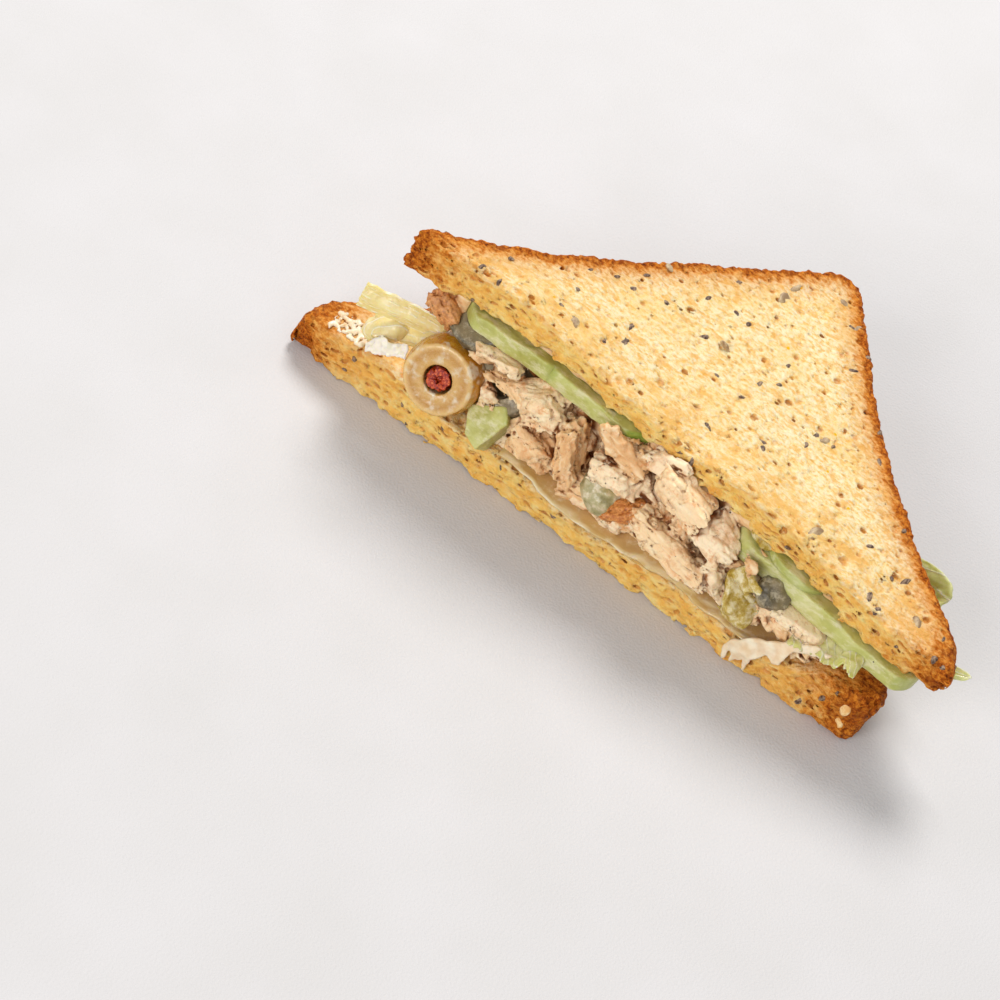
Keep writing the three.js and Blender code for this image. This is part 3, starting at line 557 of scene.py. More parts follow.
def olive_look():
    look = Look("green_olive", 0.6, (0.35, 3, (1, 0.65, 0.25)), 0.25)
    skin, radius, film = map(look.attribute, ("skin", "radius", "film"))
    fine = look.noise(0.8, 3, 0.6)
    flesh = look.ramp(radius, 0.4, (196, 146, 70), 0.55, (210, 166, 94), 0.8, (190, 138, 60),
                      0.96, (222, 184, 118))
    flesh = look.tint(flesh, (192, 142, 66), look.noise(3.6, 3, 0.6), 0.5, 0.8, 0.5)
    peel = look.ramp(look.noise(2.8, 4, 0.6, (1, 1.6, 0.6)),
                     0.3, (178, 112, 10), 0.6, (206, 146, 30), 0.8, (218, 172, 80))
    film = look.times(film, look.span(look.noise(1.7, 4, 0.7), 0.35, 0.6))
    colour = look.mix(film, look.mix(skin, flesh, peel), (228, 214, 186))
    return look.done(colour, look.span(fine, 0.3, 0.7, 0.2, 0.38), fine, 0.12)


def pimento_look():
    look = Look("pimento", 0.5, (0.1, 0.6, (1, 0.3, 0.15)))
    grain = look.noise(0.6, 4, 0.7)
    colour = look.ramp(grain, 0.38, (116, 18, 4), 0.52, (184, 50, 12), 0.68, (236, 132, 58))
    # painted shade: the strands turn almost black-red deep down in the olive's hole
    return look.done(look.mix(look.attribute("raised"), (84, 16, 6), colour), 0.25, grain, 0.25)


def dark_olive_look():
    look = Look("dark_olive", 0.55, (0.2, 2, (1, 0.8, 0.5)), 0.2)
    broad, fine = look.noise(3, 4, 0.6), look.noise(0.7, 4, 0.7)
    flesh = look.ramp(broad, 0.3, (112, 96, 66), 0.6, (144, 128, 94), 0.8, (178, 164, 132))
    peel = look.ramp(fine, 0.3, (66, 58, 40), 0.6, (112, 102, 78), 0.8, (164, 152, 128))
    colour = look.mix(look.attribute("skin"), flesh, peel)
    colour = look.tint(colour, (202, 188, 158), look.noise(2, 5, 0.7), 0.48, 0.68, 0.75)
    return look.done(colour, 0.3, fine, 0.2)


def leaf_look(name, pale, deep, rib, clear=0):
    look = Look(name, 0.5, (0.5, 2.5, (0.8, 1, 0.4)), 0.12, clear)
    vein, fine = look.attribute("vein"), look.noise(1, 3, 0.6)
    colour = look.ramp(look.noise(5, 4, 0.6), 0.3, deep, 0.7, pale)
    colour = look.mix(look.times(look.attribute("edge"), 0.6), colour, deep)
    colour = look.mix(vein, colour, rib)
    colour = look.tint(colour, (236, 226, 200), look.noise(2.2, 4, 0.7), 0.5, 0.75, 0.5)
    relief = look.plus(look.times(vein, 0.5), look.times(fine, 0.5))
    return look.done(colour, look.span(fine, 0.3, 0.7, 0.3, 0.5), relief, 0.22)


def pickle_look(name, shine, parts, coat, clear, size, stops, rough, grain, depth):
    look = Look(name, shine, (0.4, 3, parts), coat, clear)
    return look.done(look.ramp(look.noise(size, 4, 0.65), *stops), rough, look.noise(*grain), depth)


LOOKS = dict(
    bread=bread_look(), chicken=chicken_look(), mayo=mayo_look(), cucumber=cucumber_look(),
    olive=olive_look(), pimento=pimento_look(), dark_olive=dark_olive_look(),
    pickle=pickle_look("pickle", 0.6, (1, 0.9, 0.3), 0.25, 0.1, 2.6,
                       (0.34, (168, 132, 16), 0.46, (202, 174, 82), 0.58, (236, 220, 174)),
                       0.25, (0.9, 4, 0.6), 0.35),
    dome=pickle_look("pickle_in_dressing", 0.5, (1, 0.9, 0.6), 0.2, 0, 3.2,
                     (0.35, (138, 128, 76), 0.5, (178, 168, 122), 0.65, (222, 206, 176)),
                     0.3, (1.2, 3), 0.25),
    pale_leaf=leaf_look("pale_lettuce", (242, 226, 174), (222, 196, 120), (250, 240, 208)),
    frill_leaf=leaf_look("frilly_lettuce", (238, 230, 186), (196, 194, 92), (248, 242, 212)),
    green_leaf=leaf_look("green_lettuce", (176, 172, 80), (134, 138, 34), (214, 208, 140)),
    edge_leaf=leaf_look("lettuce_edge", (232, 230, 186), (212, 214, 140), (242, 240, 214), 0.1),
    soaked_leaf=leaf_look("soaked_lettuce", (226, 196, 142), (196, 156, 98), (238, 218, 176)),
    white_leaf=leaf_look("white_lettuce", (242, 230, 196), (230, 210, 158), (248, 240, 216)),
    dark_seed=seed_look("dark_seed", (70, 46, 36), (178, 150, 122)),
    grey_seed=seed_look("sunflower_seed", (150, 120, 86), (212, 188, 148), 1.6),
    oat=seed_look("oat_flake", (226, 168, 96), (252, 222, 164), 1.2))

# ------------------------------------------------------------------ bread


def along(table, x):
    """The value of a [position, value] table, eased between its entries."""
    positions, values = np.array(table, float).T
    i = np.clip(np.searchsorted(positions, x) - 1, 0, len(positions) - 2)
    t = smoothstep(x, positions[i], positions[i + 1])
    return values[i] + (values[i + 1] - values[i]) * t


def half_slice_outline(spec, cut_too=True):
    """Anticlockwise from the left tip: the cut, a tip, a crust side, the whole corner, and back."""
    left, right, apex, overcut = spec["left"], spec["right"], spec["apex"], spec["overcut"]
    corner = lambda c: c["reach"] - c["radius"] * math.sqrt(2)
    below = lambda c: math.asin(overcut / c["radius"])
    tip = lambda c: corner(c) + c["radius"] * math.cos(below(c))
    side = math.sqrt(0.5)

    def arc(x, y, radius, start, stop, steps):
        return [(x + radius * math.cos(a), y + radius * math.sin(a))
                for a in np.linspace(start, stop, steps, endpoint=False)]

    def leg(mirror, c, steps=24):
        start = np.array([corner(c) + c["radius"] * side, overcut + c["radius"] * side])
        stop = np.array([apex["radius"] * side, overcut + corner(apex) + apex["radius"] * side])
        skew = math.log(0.5) / math.log(c["deepest"])
        for i in range(steps):
            t = i / steps if mirror > 0 else 1 - i / steps
            p = start + (stop - start) * t - c["sag"] * math.sin(math.pi * t ** skew) * side
            yield mirror * p[0], p[1]

    crust = arc(corner(right), overcut, right["radius"], -below(right), math.pi / 4, 8)
    crust += leg(1, right)
    crust += arc(0, overcut + corner(apex), apex["radius"], math.pi / 4, math.pi * 0.75, 10)
    crust += leg(-1, left)
    crust += arc(-corner(left), overcut, left["radius"], math.pi * 0.75, math.pi + below(left), 8)
    crust.append((-tip(left), 0))
    return crust + [(tip(right), 0)] if cut_too else crust


def outline_distance(x, y, outline, closed=True):
    """Distance to an outline, negative inside where it is closed."""
    nearest, inside = np.full(x.shape, 1e9), np.zeros(x.shape, bool)
    ends = zip(outline, outline[1:] + outline[:1]) if closed else zip(outline, outline[1:])
    for (ax, ay), (bx, by) in ends:
        ex, ey = bx - ax, by - ay
        wx, wy = x - ax, y - ay
        t = np.clip((wx * ex + wy * ey) / max(ex * ex + ey * ey, 1e-9), 0, 1)
        nearest = np.minimum(nearest, (wx - ex * t) ** 2 + (wy - ey * t) ** 2)
        if closed and ay != by:
            inside ^= ((ay > y) != (by > y)) & (x < ex * (y - ay) / ey + ax)
    nearest = np.sqrt(nearest)
    return np.where(inside, -nearest, nearest) if closed else nearest


def crust_depth(spec, x, y):
    """How far a point lies behind the crust, which is thicker round the two tips."""
    depth = outline_distance(x, y, half_slice_outline(spec, False), False)
    for sign, tip in ((-1, spec["left"]), (1, spec["right"])):
        end = tip["reach"] - tip["radius"] * (math.sqrt(2) - 1)
        depth = np.minimum(depth, np.abs(end - sign * x) * CRUST_BAND / tip["brown"])
    return depth


def undulation(x, y, seed):
    return 0.5 * noise(x / 17, y / 17, 0.5, seed)


def pressed(y, reach=SQUEEZE_DEPTH):
    """How much of the knife's pressure a point feels, from the cut backwards."""
    return fade(y, 0, reach)


def thickness(at_cut, x, y):
    return BREAD_THICKNESS + (along(at_cut, x) - BREAD_THICKNESS) * pressed(y)


def floor_at(x, y):
    """The upper face of the lower slice."""
    return thickness(BOTTOM_AT_CUT, x, y) + undulation(x, y, 3)


def roof_at(x, y):
    """The lower face of the upper slice, in its own frame."""
    lift = along(TOP_LIFT, x) * pressed(y) * 0.6
    return lift - thickness(TOP_AT_CUT, x, y) + undulation(x, y + 40, 11)


def bottom_faces(x, y):
    return np.zeros(np.shape(x)), floor_at(x, y)


def top_faces(x, y):
    high = along(TOP_LIFT, x) * pressed(y, SQUEEZE_DEPTH * 0.7) + undulation(x, y, 11)
    return roof_at(x, y), high


def rounded(a, b, radius):
    """The meeting of two shapes, with its edge rounded."""
    a, b = a + radius, b + radius
    return np.minimum(np.maximum(a, b), 0) + np.hypot(np.maximum(a, 0), np.maximum(b, 0)) - radius


# Two sizes of pores in the crumb: the size of their cells, a number for their places, the smallest
# and the biggest radius in a cell, how rare big ones are, and how deep they reach
PORES = [(2.4, 7, 0.03, 0.5, 5.0, 0.9), (1.2, 8, 0.06, 0.46, 2.0, 0.5)]
CUT_PORES = (2.8, 1.5, 1.05)  # cells of the pores that the knife has opened and drawn out
FLUFF = 0.24  # height of the crumb's finest relief
NEAR = 2.6  # how far from the surface its relief is worked out


def bread(name, spec, faces, place, node, step, most):
    """A half slice with torn cut, pores in the crumb and a grainy crust."""
    step *= COARSE
    seed, left, right = spec["seed"], spec["left"], spec["right"]
    low_z, high_z = (-1, 17) if place is CUT else (-15.5, 3.5)
    field = Field((-left["reach"] - 1, -2.6, low_z),
                  (right["reach"] + 3, spec["apex"]["reach"] + 5, high_z), step)
    x, y, z = field.grid()
    flat_x, flat_y = np.broadcast_arrays(x[:, :, 0], y[:, :, 0])
    outline = outline_distance(flat_x, flat_y, half_slice_outline(spec))
    rim = crust_depth(spec, flat_x, flat_y)
    crust = outline_distance(flat_x, flat_y, half_slice_outline(spec, False), False)
    slope = np.gradient(outline, step, axis=0)
    low, high, outline, rim, crust, slope = (
        a[:, :, None].astype(np.float32)
        for a in (*faces(flat_x, flat_y), outline, rim, crust, slope))
    level = np.clip((z - low) / (high - low), 0, 1)
    across = outline - slope * spec["lean"] * (level - 0.5) * np.minimum(np.abs(x) / LEANS_FROM, 1)
    turn = np.where(x < 0, left["turn"], right["turn"])
    corner = np.where((y < turn) & (crust < turn), np.hypot(turn - y, turn - crust) - turn, -FAR)
    across = np.where(outline < 0, np.maximum(across, corner), across)
    rounding = RIM + (TIP_RIM - RIM) * smoothstep(np.abs(x), *TIP_SPAN)
    base = rounded(across, np.maximum(z - high, low - z), rounding)

    near = np.abs(base) < NEAR
    at = np.nonzero(near)
    px, py, pz = (axis[i] for axis, i in zip(field.axes(), at))
    lo, hi, edge = (a[at[0], at[1], 0] for a in (low, high, rim))
    d = base[near]
    natural = (pz - lo) / (hi - lo) * BREAD_THICKNESS  # height before the knife pressed it
    at_cut, at_crust = fade(py, 0.5, 3.5), fade(edge, 1.0, 3.0)
    crumb = 1 - at_crust
    torn = noise(px / 5, py / 5, natural / 5, seed)
    torn = torn + 0.6 * noise(px / 2.4, py / 2.4, natural / 1.8, seed + 1)
    streak = noise(px / 3.6, py / 2.5, natural / 0.9, seed + 2)
    frayed = fade(np.abs(pz - lo), 0.3, 2.2)  # along the lower edge
    d += at_cut * ((0.75 + 0.5 * frayed) * torn + 0.36 * streak) * (1 - 0.6 * at_crust)
    d += at_crust * (0.3 * ripple(px, py, pz, 6, seed) + 0.5 * ripple(px, py, pz, 1.3, seed + 4))
    d += (1 - at_cut) * crumb * 0.2 * ripple(px, py, pz, 3.4, seed + 5)
    smooth_d = d.copy()
    d -= crumb * FLUFF * noise(px / 1.6, py / 0.9, natural / 0.9, seed + 6)
    for size, place_seed, small, big, rarity, reach in PORES:
        inside = bubbles(px / size, py / size, natural / (size * 0.75), seed + place_seed,
                         small, big, rarity)
        d = np.maximum(d, np.minimum(inside * size * 0.9 - 0.05, d + reach * crumb))
    cut_only = at_cut > 0
    cells = (a[cut_only] / size for a, size in zip((px, py, natural), CUT_PORES))
    inside = bubbles(*cells, seed + 9, 0.08, 0.5, 1.4) * 1.3
    d[cut_only] = np.maximum(d[cut_only], np.minimum(inside, d[cut_only] + at_cut[cut_only]))
    field.values = np.where(base < 0, -FAR, FAR).astype(np.float32)
    smooth_values = field.values.copy()
    field.values[near], smooth_values[near] = d, smooth_d
    # Bubbles that don't open outwards are filled, and loose crumbs dropped
    rounds = int(7 / COARSE) + 2
    outside = grown(smooth_values > 0.3, field.values > 0, rounds)
    field.values[(field.values > 0) & ~outside] = -0.2
    solid = grown(smooth_values < -1.8, field.values < 0, rounds + 4)
    field.values[(field.values < 0) & ~solid] = 0.2
    if place is CUT:
        field.values = np.maximum(field.values, FLOOR_GAP - z)

    def values(points, normals):
        x, y, z = points.T
        cut = fade(y, 0.2, 1.6) * smoothstep(faces(x, y)[1] - z, 0.2, 1.4)
        side = smoothstep(-normals[:, 1], 0.1, 0.6)
        # depth, how far a point lies below the crumb's smooth surface, is what the material paints
        # pore shade with
        return dict(
            rim=crust_depth(spec, x, y), depth=np.clip(-field.sample(points, smooth_values), 0, 2),
            cut=np.clip(cut * (0.4 + 0.6 * side), 0, 1), near_cut=fade(y, 4, 18))

    return piece(name, *field.surface(), "bread", "bread", (node,), place, values, most)


slice_bottom = bread(
    "slice_bottom", BOTTOM, bottom_faces, CUT, "bread_bottom", BREAD_STEP * 1.1, 150000)
slice_top = bread("slice_top", TOP, top_faces, TOP_PLACE, "bread_top", BREAD_STEP, MOST_TRIANGLES)

# ------------------------------------------------------------------ chicken salad


def between_slices(x, y, z):
    """Distance to the bread, negative in the room between the slices."""
    at_x, at_y, at_z = TOP_PLACE.into(listed(x, y, z)).T
    above = (at_z - roof_at(at_x, at_y)).reshape(x.shape)
    behind = smoothstep(at_y, -1.5, 0.2).reshape(x.shape)  # in front of the cut there is no roof
    return np.maximum(floor_at(x, y) - z, above * behind - 4 * (1 - behind)) + HEAP_GAP


def ragged_chunk(size, place, seed):
    """Torn meat: a block of fibres along its own X with flat breaks and ragged ends."""
    random = np.random.default_rng(seed)
    half = np.array(size, float) / 2
    breaks = random.normal(size=(5, 3))
    breaks /= np.linalg.norm(breaks, axis=1, keepdims=True)
    reach = (np.abs(breaks) * half).sum(1) * random.uniform(0.5, 0.75, 5)
    i, j, k = random.uniform(0, 40, 3)
    corner = min(half) * 0.35

    def distance(x, y, z):
        p = place.into(listed(x, y, z)).astype(np.float32)
        u, v, w = p.T
        ends = 1.4 * noise(i, v / 1.5 + j, w / 1.3, seed)
        ends = ends + 0.7 * noise(3, v / 0.8, w / 0.7 + k, seed)
        sides = [np.abs(u) - half[0] - ends, np.abs(v) - half[1], np.abs(w) - half[2]]
        q = np.stack(sides, 1) + corner
        d = np.linalg.norm(np.maximum(q, 0), axis=1) + np.minimum(q.max(1), 0) - corner
        serrated = 0.65 * noise(u / 1.5, v / 1.3, w / 1.3 + i, seed + 3)
        for normal, far in zip(breaks, reach):
            d = np.maximum(d, p @ normal.astype(np.float32) - far + serrated)
        d += 0.75 * noise(u / 5 + i, v / 4, w / 4, seed)
        crack = np.abs(noise(u / 6 + j, v / 3, w / 3, seed + 4))
        d += 0.8 * fade(crack, 0, 0.1)
        groove = np.abs(noise(u / 8, v / 1.9 + j, w / 1.5, seed + 1))  # between bundles of fibres
        d += 0.38 * fade(groove, 0, 0.2)
        d += 0.16 * noise(u / 3, v / 1.1, w / 1.0 + k, seed + 2)
        return d.reshape(x.shape)

    return distance


# The lumps that show at the cut: X, the front's Y, Z, length, depth, height, the turns about X, Y
# and Z, and how browned each is
CHUNKS = [
    (-16, -1.5, 28, 12, 9, 10, 10, -30, 8, 0), (-15, -2.5, 17.5, 13, 10, 8, -14, 20, 0, 0),
    (-6.2, -3, 24, 13, 9, 7, 0, 78, 12, 0), (3.5, 0.5, 32.5, 14, 9, 7, -10, 18, 5, 0),
    (5, -2.4, 25.5, 15, 9, 7.5, -8, -12, -5, 0), (15.5, 3.4, 34.4, 14, 7, 6.5, -12, -6, 0, 0),
    (20, -1.2, 31, 18, 9, 7.5, -12, 14, -4, 0), (11.4, -2.8, 20.6, 9, 7, 3.4, 0, -34, 18, 1),
    (23.5, -3.9, 19.3, 21, 10, 7.5, -16, 10, -4, 0), (30, -0.2, 26.8, 11, 9, 7.5, -8, 30, 0, 0),
    (33.5, -2.6, 18.2, 9, 8, 7.5, 0, 55, 0, 0), (40.6, 0.3, 27, 6, 6, 4.6, 0, 0, 0, 0),
    (54.8, -0.6, 20.6, 14, 7, 4.2, -14, 20, 0, 0), (-44.5, 3.4, 32.0, 9, 6, 6.5, 0, 40, 0, 0.75),
    (-27.5, -0.6, 33.2, 15, 7, 2.4, -14, -9, 0, 0), (-2, 0.5, 17, 12, 8, 5, 0, -8, 0, 0),
]


def salad(name, field, core, chunks, seed, most):
    """Lumps of meat joined with a core, between the slices. Each lump has its middle, its size,
    its turns and how browned it is."""
    random = np.random.default_rng(seed)
    field.unite(field.low, field.low + field.step * field.count, core)
    tones, browns, places = [0.3], [0.0], [CUT]
    for i, (centre, size, turns, brown) in enumerate(chunks, 1):
        place = Place(centre, turns)
        reach = np.linalg.norm(size) / 2 + CHUNK_MARGIN
        field.unite(place.origin - reach, place.origin + reach,
                    ragged_chunk(size, place, seed + CHUNK_SEED + i), CHUNK_BLEND, i)
        tones.append(random.uniform(0.1, 1))
        browns.append(brown)
        places.append(place)
    field.values = np.maximum(field.values, between_slices(*field.grid(False)).astype(np.float32))
    for length, width, thick, place in round_pieces():
        reach = max(length, thick) / 2 + 1
        field.carve(place.origin - reach, place.origin + reach,
                    disc(length, width, thick, place), ROUND_GAP)

    def values(points, normals):
        owner = field.owners(points)
        along_fibre = np.zeros(len(points), np.float32)
        for i, place in enumerate(places):
            x, y, z = place.into(points[owner == i]).T
            along_fibre[owner == i] = noise(x / 6, y / 0.8, z / 0.8, i)
        # how shut in a point is by meat round it, for the painted shade in crevices
        open_air = sum(np.clip(field.sample(points + normals * far, field.values) / far, 0, 1)
                       for far in OPEN_AIR) / len(OPEN_AIR)
        return dict(tone=np.array(tones)[owner], season=np.array(browns)[owner],
                    fibre=along_fibre, hollow=1 - open_air)

    piece(name, *field.surface(), "chicken", "chicken", ("chicken_salad",), CUT, values, most)


HEAP_FRONT, HEAP_BACK = -5.5, 14
FLAKES, LOW_FLAKES = 70, 22
CRUST_LUMPS = 17  # along each crust
CHUNK_SEED, CHUNK_BLEND = 299, 0.25
CHUNK_MARGIN = 2.5  # how far a lump's ragged ends can stand out of it
ROUND_GAP = 0.1  # round the cucumber and olives
# the hollows that it finds get painted shade
OPEN_AIR = (1.2, 2.6)  # how far out the meat looks for hollows, which are darker
HEAP_LEFT, HEAP_RIGHT = -42, 63
HEAP_BEHIND = [(-46, 10), (62, 8), (7, 65)]  # the corners of what fills the room behind it
CORNER_LINE = (68, 77)  # where lumps lie along the crusts, as X + Y from the crust's own corner


def heap():
    chunks = [((x, front + depth / 2, z), (length, depth, height), turns, brown)
              for x, front, z, length, depth, height, *turns, brown in CHUNKS]
    random = np.random.default_rng(77)
    for _ in range(FLAKES):  # smaller ones behind and between them
        x = random.uniform(-38, 60)
        level = random.uniform(0.15, 0.85) * (1 - 0.6 * float(smoothstep(x, 36, 46)))
        centre = (x, random.uniform(4, 8.5), 11 + level * 20)
        size = random.uniform((6, 4, 3), (12, 7, 5))
        turns = random.uniform(-35, 35, 3)
        chunks.append((centre, size, turns, 0.7 if random.random() < 0.06 else 0))
    for _ in range(LOW_FLAKES):  # and low ones along the leaf
        centre = random.uniform((-22, 3.4, 11.5), (34, 6.5, 15.5))
        size = random.uniform((7, 4, 3), (12, 6, 4.5))
        chunks.append((centre, size, random.uniform(-30, 30, 3), 0))

    def core(x, y, z):
        left = HEAP_LEFT - 0.6 * (z - 28) - 0.4 * (y - 4) - x  # it leans out under the upper slice
        return np.maximum(np.maximum(7.5 - y + 1.2 * ripple(x, y, z, 6, 2), left), x - HEAP_RIGHT)

    field = Field((-60, HEAP_FRONT, 5), (74, HEAP_BACK, 46), HEAP_STEP * COARSE)
    salad("chicken_front", field, core, chunks, 0, 170000)


def heap_behind():
    """The salad as it shows along the two crusts."""
    random = np.random.default_rng(78)
    chunks = []
    for side, nearest, deep, shift in ((1, 10, 56, 0), (-1, 22, 44, 8)):
        for i in range(CRUST_LUMPS):
            t = (i + random.uniform(0.2, 0.8)) / CRUST_LUMPS
            line = random.uniform(*CORNER_LINE)
            y = nearest + deep * t
            size = random.uniform((8, 6, 5), (14, 10, 8))
            centre = (side * (line - y) + shift, y, 22 - 3 * t + random.uniform(-3.5, 3.5))
            chunks.append((centre, size, random.uniform((-25, -25, -90), (25, 25, 90)), 0))

    def core(x, y, z):
        flat = outline_distance(x[:, :, 0], y[:, :, 0], HEAP_BEHIND)
        return flat[:, :, None] + 1.2 * ripple(x, y, z, 6, 2)

    field = Field((-62, 11, 5), (74, 76, 46), HEAP_STEP * 1.6 * COARSE)
    salad("chicken_behind", field, core, chunks, 1000, 70000)


# ------------------------------------------------------------------ cucumber, olives and pickle


def ellipse_distance(x, y, length, width):
    """Rough distance to an oval's edge, negative inside."""
    a, b = length / 2, width / 2
    q = np.hypot(x / a, y / b)
    return (q - 1) * q / np.maximum(np.hypot(x / a ** 2, y / b ** 2), 1e-4)


def lump(x, y, z, a, b, c):
    """Rough distance to an ellipsoid with the given half axes, negative inside."""
    return (np.sqrt((x / a) ** 2 + (y / b) ** 2 + (z / c) ** 2) - 1) * min(a, b, c)


# Node, length, width, thickness, middle and turns in the upper slice's frame, and how green the
# skin is
CUCUMBERS = [
    ("cucumber_1", 31, 29, 4.6, (-41, 9.5, -11.2), (-9, -7, 0), 0.2),
    ("cucumber_2", 35, 32, 4.6, (-20, 11, -10.4), (-12, -1, 8), 1),
    ("cucumber_4", 17, 15, 3.4, (33.5, 5.5, -8.2), (-9, 3, -12), 0.35),
    ("cucumber_3", 49, 24, 5.2, (43, 4.8, -12), (-6, 1, -2), 0.3)]
CUCUMBER_FRONT = -1.6  # how far the cut cucumber stands out, in the upper slice's frame
ROUND_EDGE = 0.8
DARK_OLIVES = [  # node, length, width, thickness, place and the radius of the hole
    ("olive_slice_1", 15.5, 14.5, 4.2, Place((-37, 9.5, 33), (28, -18, 0)), 3.2),
    ("olive_slice_2", 15, 14, 8.5, Place((-26.5, 8.5, 22.5), (62, 12, -14)), 3.0)]
OLIVE_RADIUS, OLIVE_FACE_RADIUS, OLIVE_LENGTH, OLIVE_WIDEST = 9, 7.8, 15.5, 5.4
OLIVE_HOLE, OLIVE_HOLE_DEPTH = 3.2, 6
OLIVE_PLACE = facing((-38.2, -2.4, 21.9), (0.09, -0.91, 0.41))
WEDGE_HALF = 3.2  # half the wedge's thickness


def round_pieces():
    """The cucumber and olives, which the meat gives way to: length, width, thickness and place."""
    for _, length, width, thick, at, turns, _ in CUCUMBERS:
        yield length, width, thick, TOP_PLACE.then(Place(at, turns))
    for _, length, width, thick, place, _ in DARK_OLIVES:
        yield length, width, thick, place
    behind = OLIVE_PLACE.then(Place((0, 0, -OLIVE_LENGTH / 2)))
    yield 2 * OLIVE_RADIUS, 2 * OLIVE_RADIUS, OLIVE_LENGTH, behind


def disc(length, width, thick, place):
    def distance(x, y, z):
        u, v, w = place.into(listed(x, y, z)).T
        flat = ellipse_distance(u, v, length, width)
        return rounded(flat, np.abs(w) - thick / 2, ROUND_EDGE).reshape(x.shape)

    return distance


def cucumbers():
    for seed, (node, length, width, thick, at, turns, green) in enumerate(CUCUMBERS, 40):
        own = Place(at, turns)

        def distance(x, y, z):
            wave = 0.35 * ripple(x, y, z, 8, seed) + 0.12 * ripple(x, y, z, 2, seed)
            flat = ellipse_distance(x, y, length, width)
            whole = rounded(flat, np.abs(z + wave) - thick / 2, ROUND_EDGE)
            tx, ty, tz = (a.reshape(x.shape) for a in own.out(listed(x, y, z)).T)
            cut = CUCUMBER_FRONT - ty + 0.35 * noise(tx / 4, tz / 3, 0.5, seed + 1)
            cut = cut + 0.1 * noise(tx / 1.2, tz / 1.2, 0, seed)
            return np.maximum(rounded(whole, cut, 0.5), tz - roof_at(tx, ty) + 0.2)

        def values(points, normals):
            x, y, z = points.T
            edge = -ellipse_distance(x, y, length, width)
            q = np.hypot(x / length, y / width) * 2
            skin = fade(edge + 0.3 * ripple(x, y, z, 3, seed), 0.2, 0.7)
            return dict(skin=skin * green * (0.45 + 0.55 * smoothstep(x, -length / 3, length / 3)),
                        core=fade(q + 0.1 * noise(x / 3, y / 3, z, 4), 0.4, 0.62))

        reach = (length / 2 + 1, width / 2 + 1, thick / 2 + 1)
        carved(node + "_slice", reach, distance, "cucumber", "cucumber", (node,),
               TOP_PLACE.then(own), values, 24000)


def green_olive():
    def radius_at(t):
        if t < OLIVE_WIDEST:
            return OLIVE_RADIUS - (OLIVE_RADIUS - OLIVE_FACE_RADIUS) * (1 - t / OLIVE_WIDEST) ** 2
        past = (t - OLIVE_WIDEST) / (OLIVE_LENGTH - OLIVE_WIDEST)
        return OLIVE_RADIUS * math.sqrt(1 - past ** 2)

    profile = [(radius_at(t), -t) for t in np.linspace(OLIVE_LENGTH, 0.3, 24)]
    profile += [(OLIVE_FACE_RADIUS - 0.3, 0), (OLIVE_HOLE * 1.04, 0), (OLIVE_HOLE, -3.6),
                (OLIVE_HOLE * 0.75, -OLIVE_HOLE_DEPTH), (0, -OLIVE_HOLE_DEPTH)]

    def distance(x, y, z):
        r = np.hypot(x, y)
        d = outline_distance(r * (1 + 0.03 * ripple(x, y, z, 6, 5)), z, profile)
        dish = 0.25 * fade(r, 3, 7) + 0.12 * noise(x / 2, y / 2, 0.3, 6)
        return np.maximum(d, z + dish * 0.7) + 0.06 * ripple(x, y, z, 1.2, 7)

    def values(points, normals):
        x, y, z = points.T
        r = np.hypot(x, y)
        upper_side = smoothstep((normals @ OLIVE_PLACE.rotation.T)[:, 2], 0, 0.7)
        streaks = noise(x / 2.4, y / 2.4, z / 4, 12) + 0.5 * noise(x, y, z, 13)
        streaks = smoothstep(streaks, -0.05, 0.45)
        skin = smoothstep(-z + 0.15 * noise(x / 1.5, y / 1.5, 0, 9), 0.25, 0.7)
        return dict(skin=skin * smoothstep(r, 4, 5), radius=r / OLIVE_FACE_RADIUS,
                    film=upper_side * streaks + (OLIVE_PLACE.out(points)[:, 1] > 5))

    r = OLIVE_RADIUS + 1
    carved("olive_cut", (r, r, 1), distance, "olive", "olive", ("green_olive",), OLIVE_PLACE,
           values, 30000, (-r, -r, -OLIVE_LENGTH - 1))


def curl(points, radii, fold, size, seed):
    """A soft tube through points, with folds."""
    ends = list(zip(np.array(points, float), np.array(points[1:], float), radii, radii[1:]))

    def distance(x, y, z):
        nearest = np.full(x.shape, 1e9)
        for a, b, ra, rb in ends:
            e = b - a
            w = [x - a[0], y - a[1], z - a[2]]
            t = np.clip(sum(wk * ek for wk, ek in zip(w, e)) / (e @ e), 0, 1)
            gap = np.sqrt(sum((wk - ek * t) ** 2 for wk, ek in zip(w, e))) - (ra + (rb - ra) * t)
            h = np.clip(0.5 + 0.5 * (nearest - gap) / 0.5, 0, 1)
            blended = nearest + (gap - nearest) * h - 0.5 * h * (1 - h)
            nearest = np.where(nearest > 100, gap, blended)
        return nearest + fold * noise(x / size, y / size, z / (size * 2), seed)

    return distance


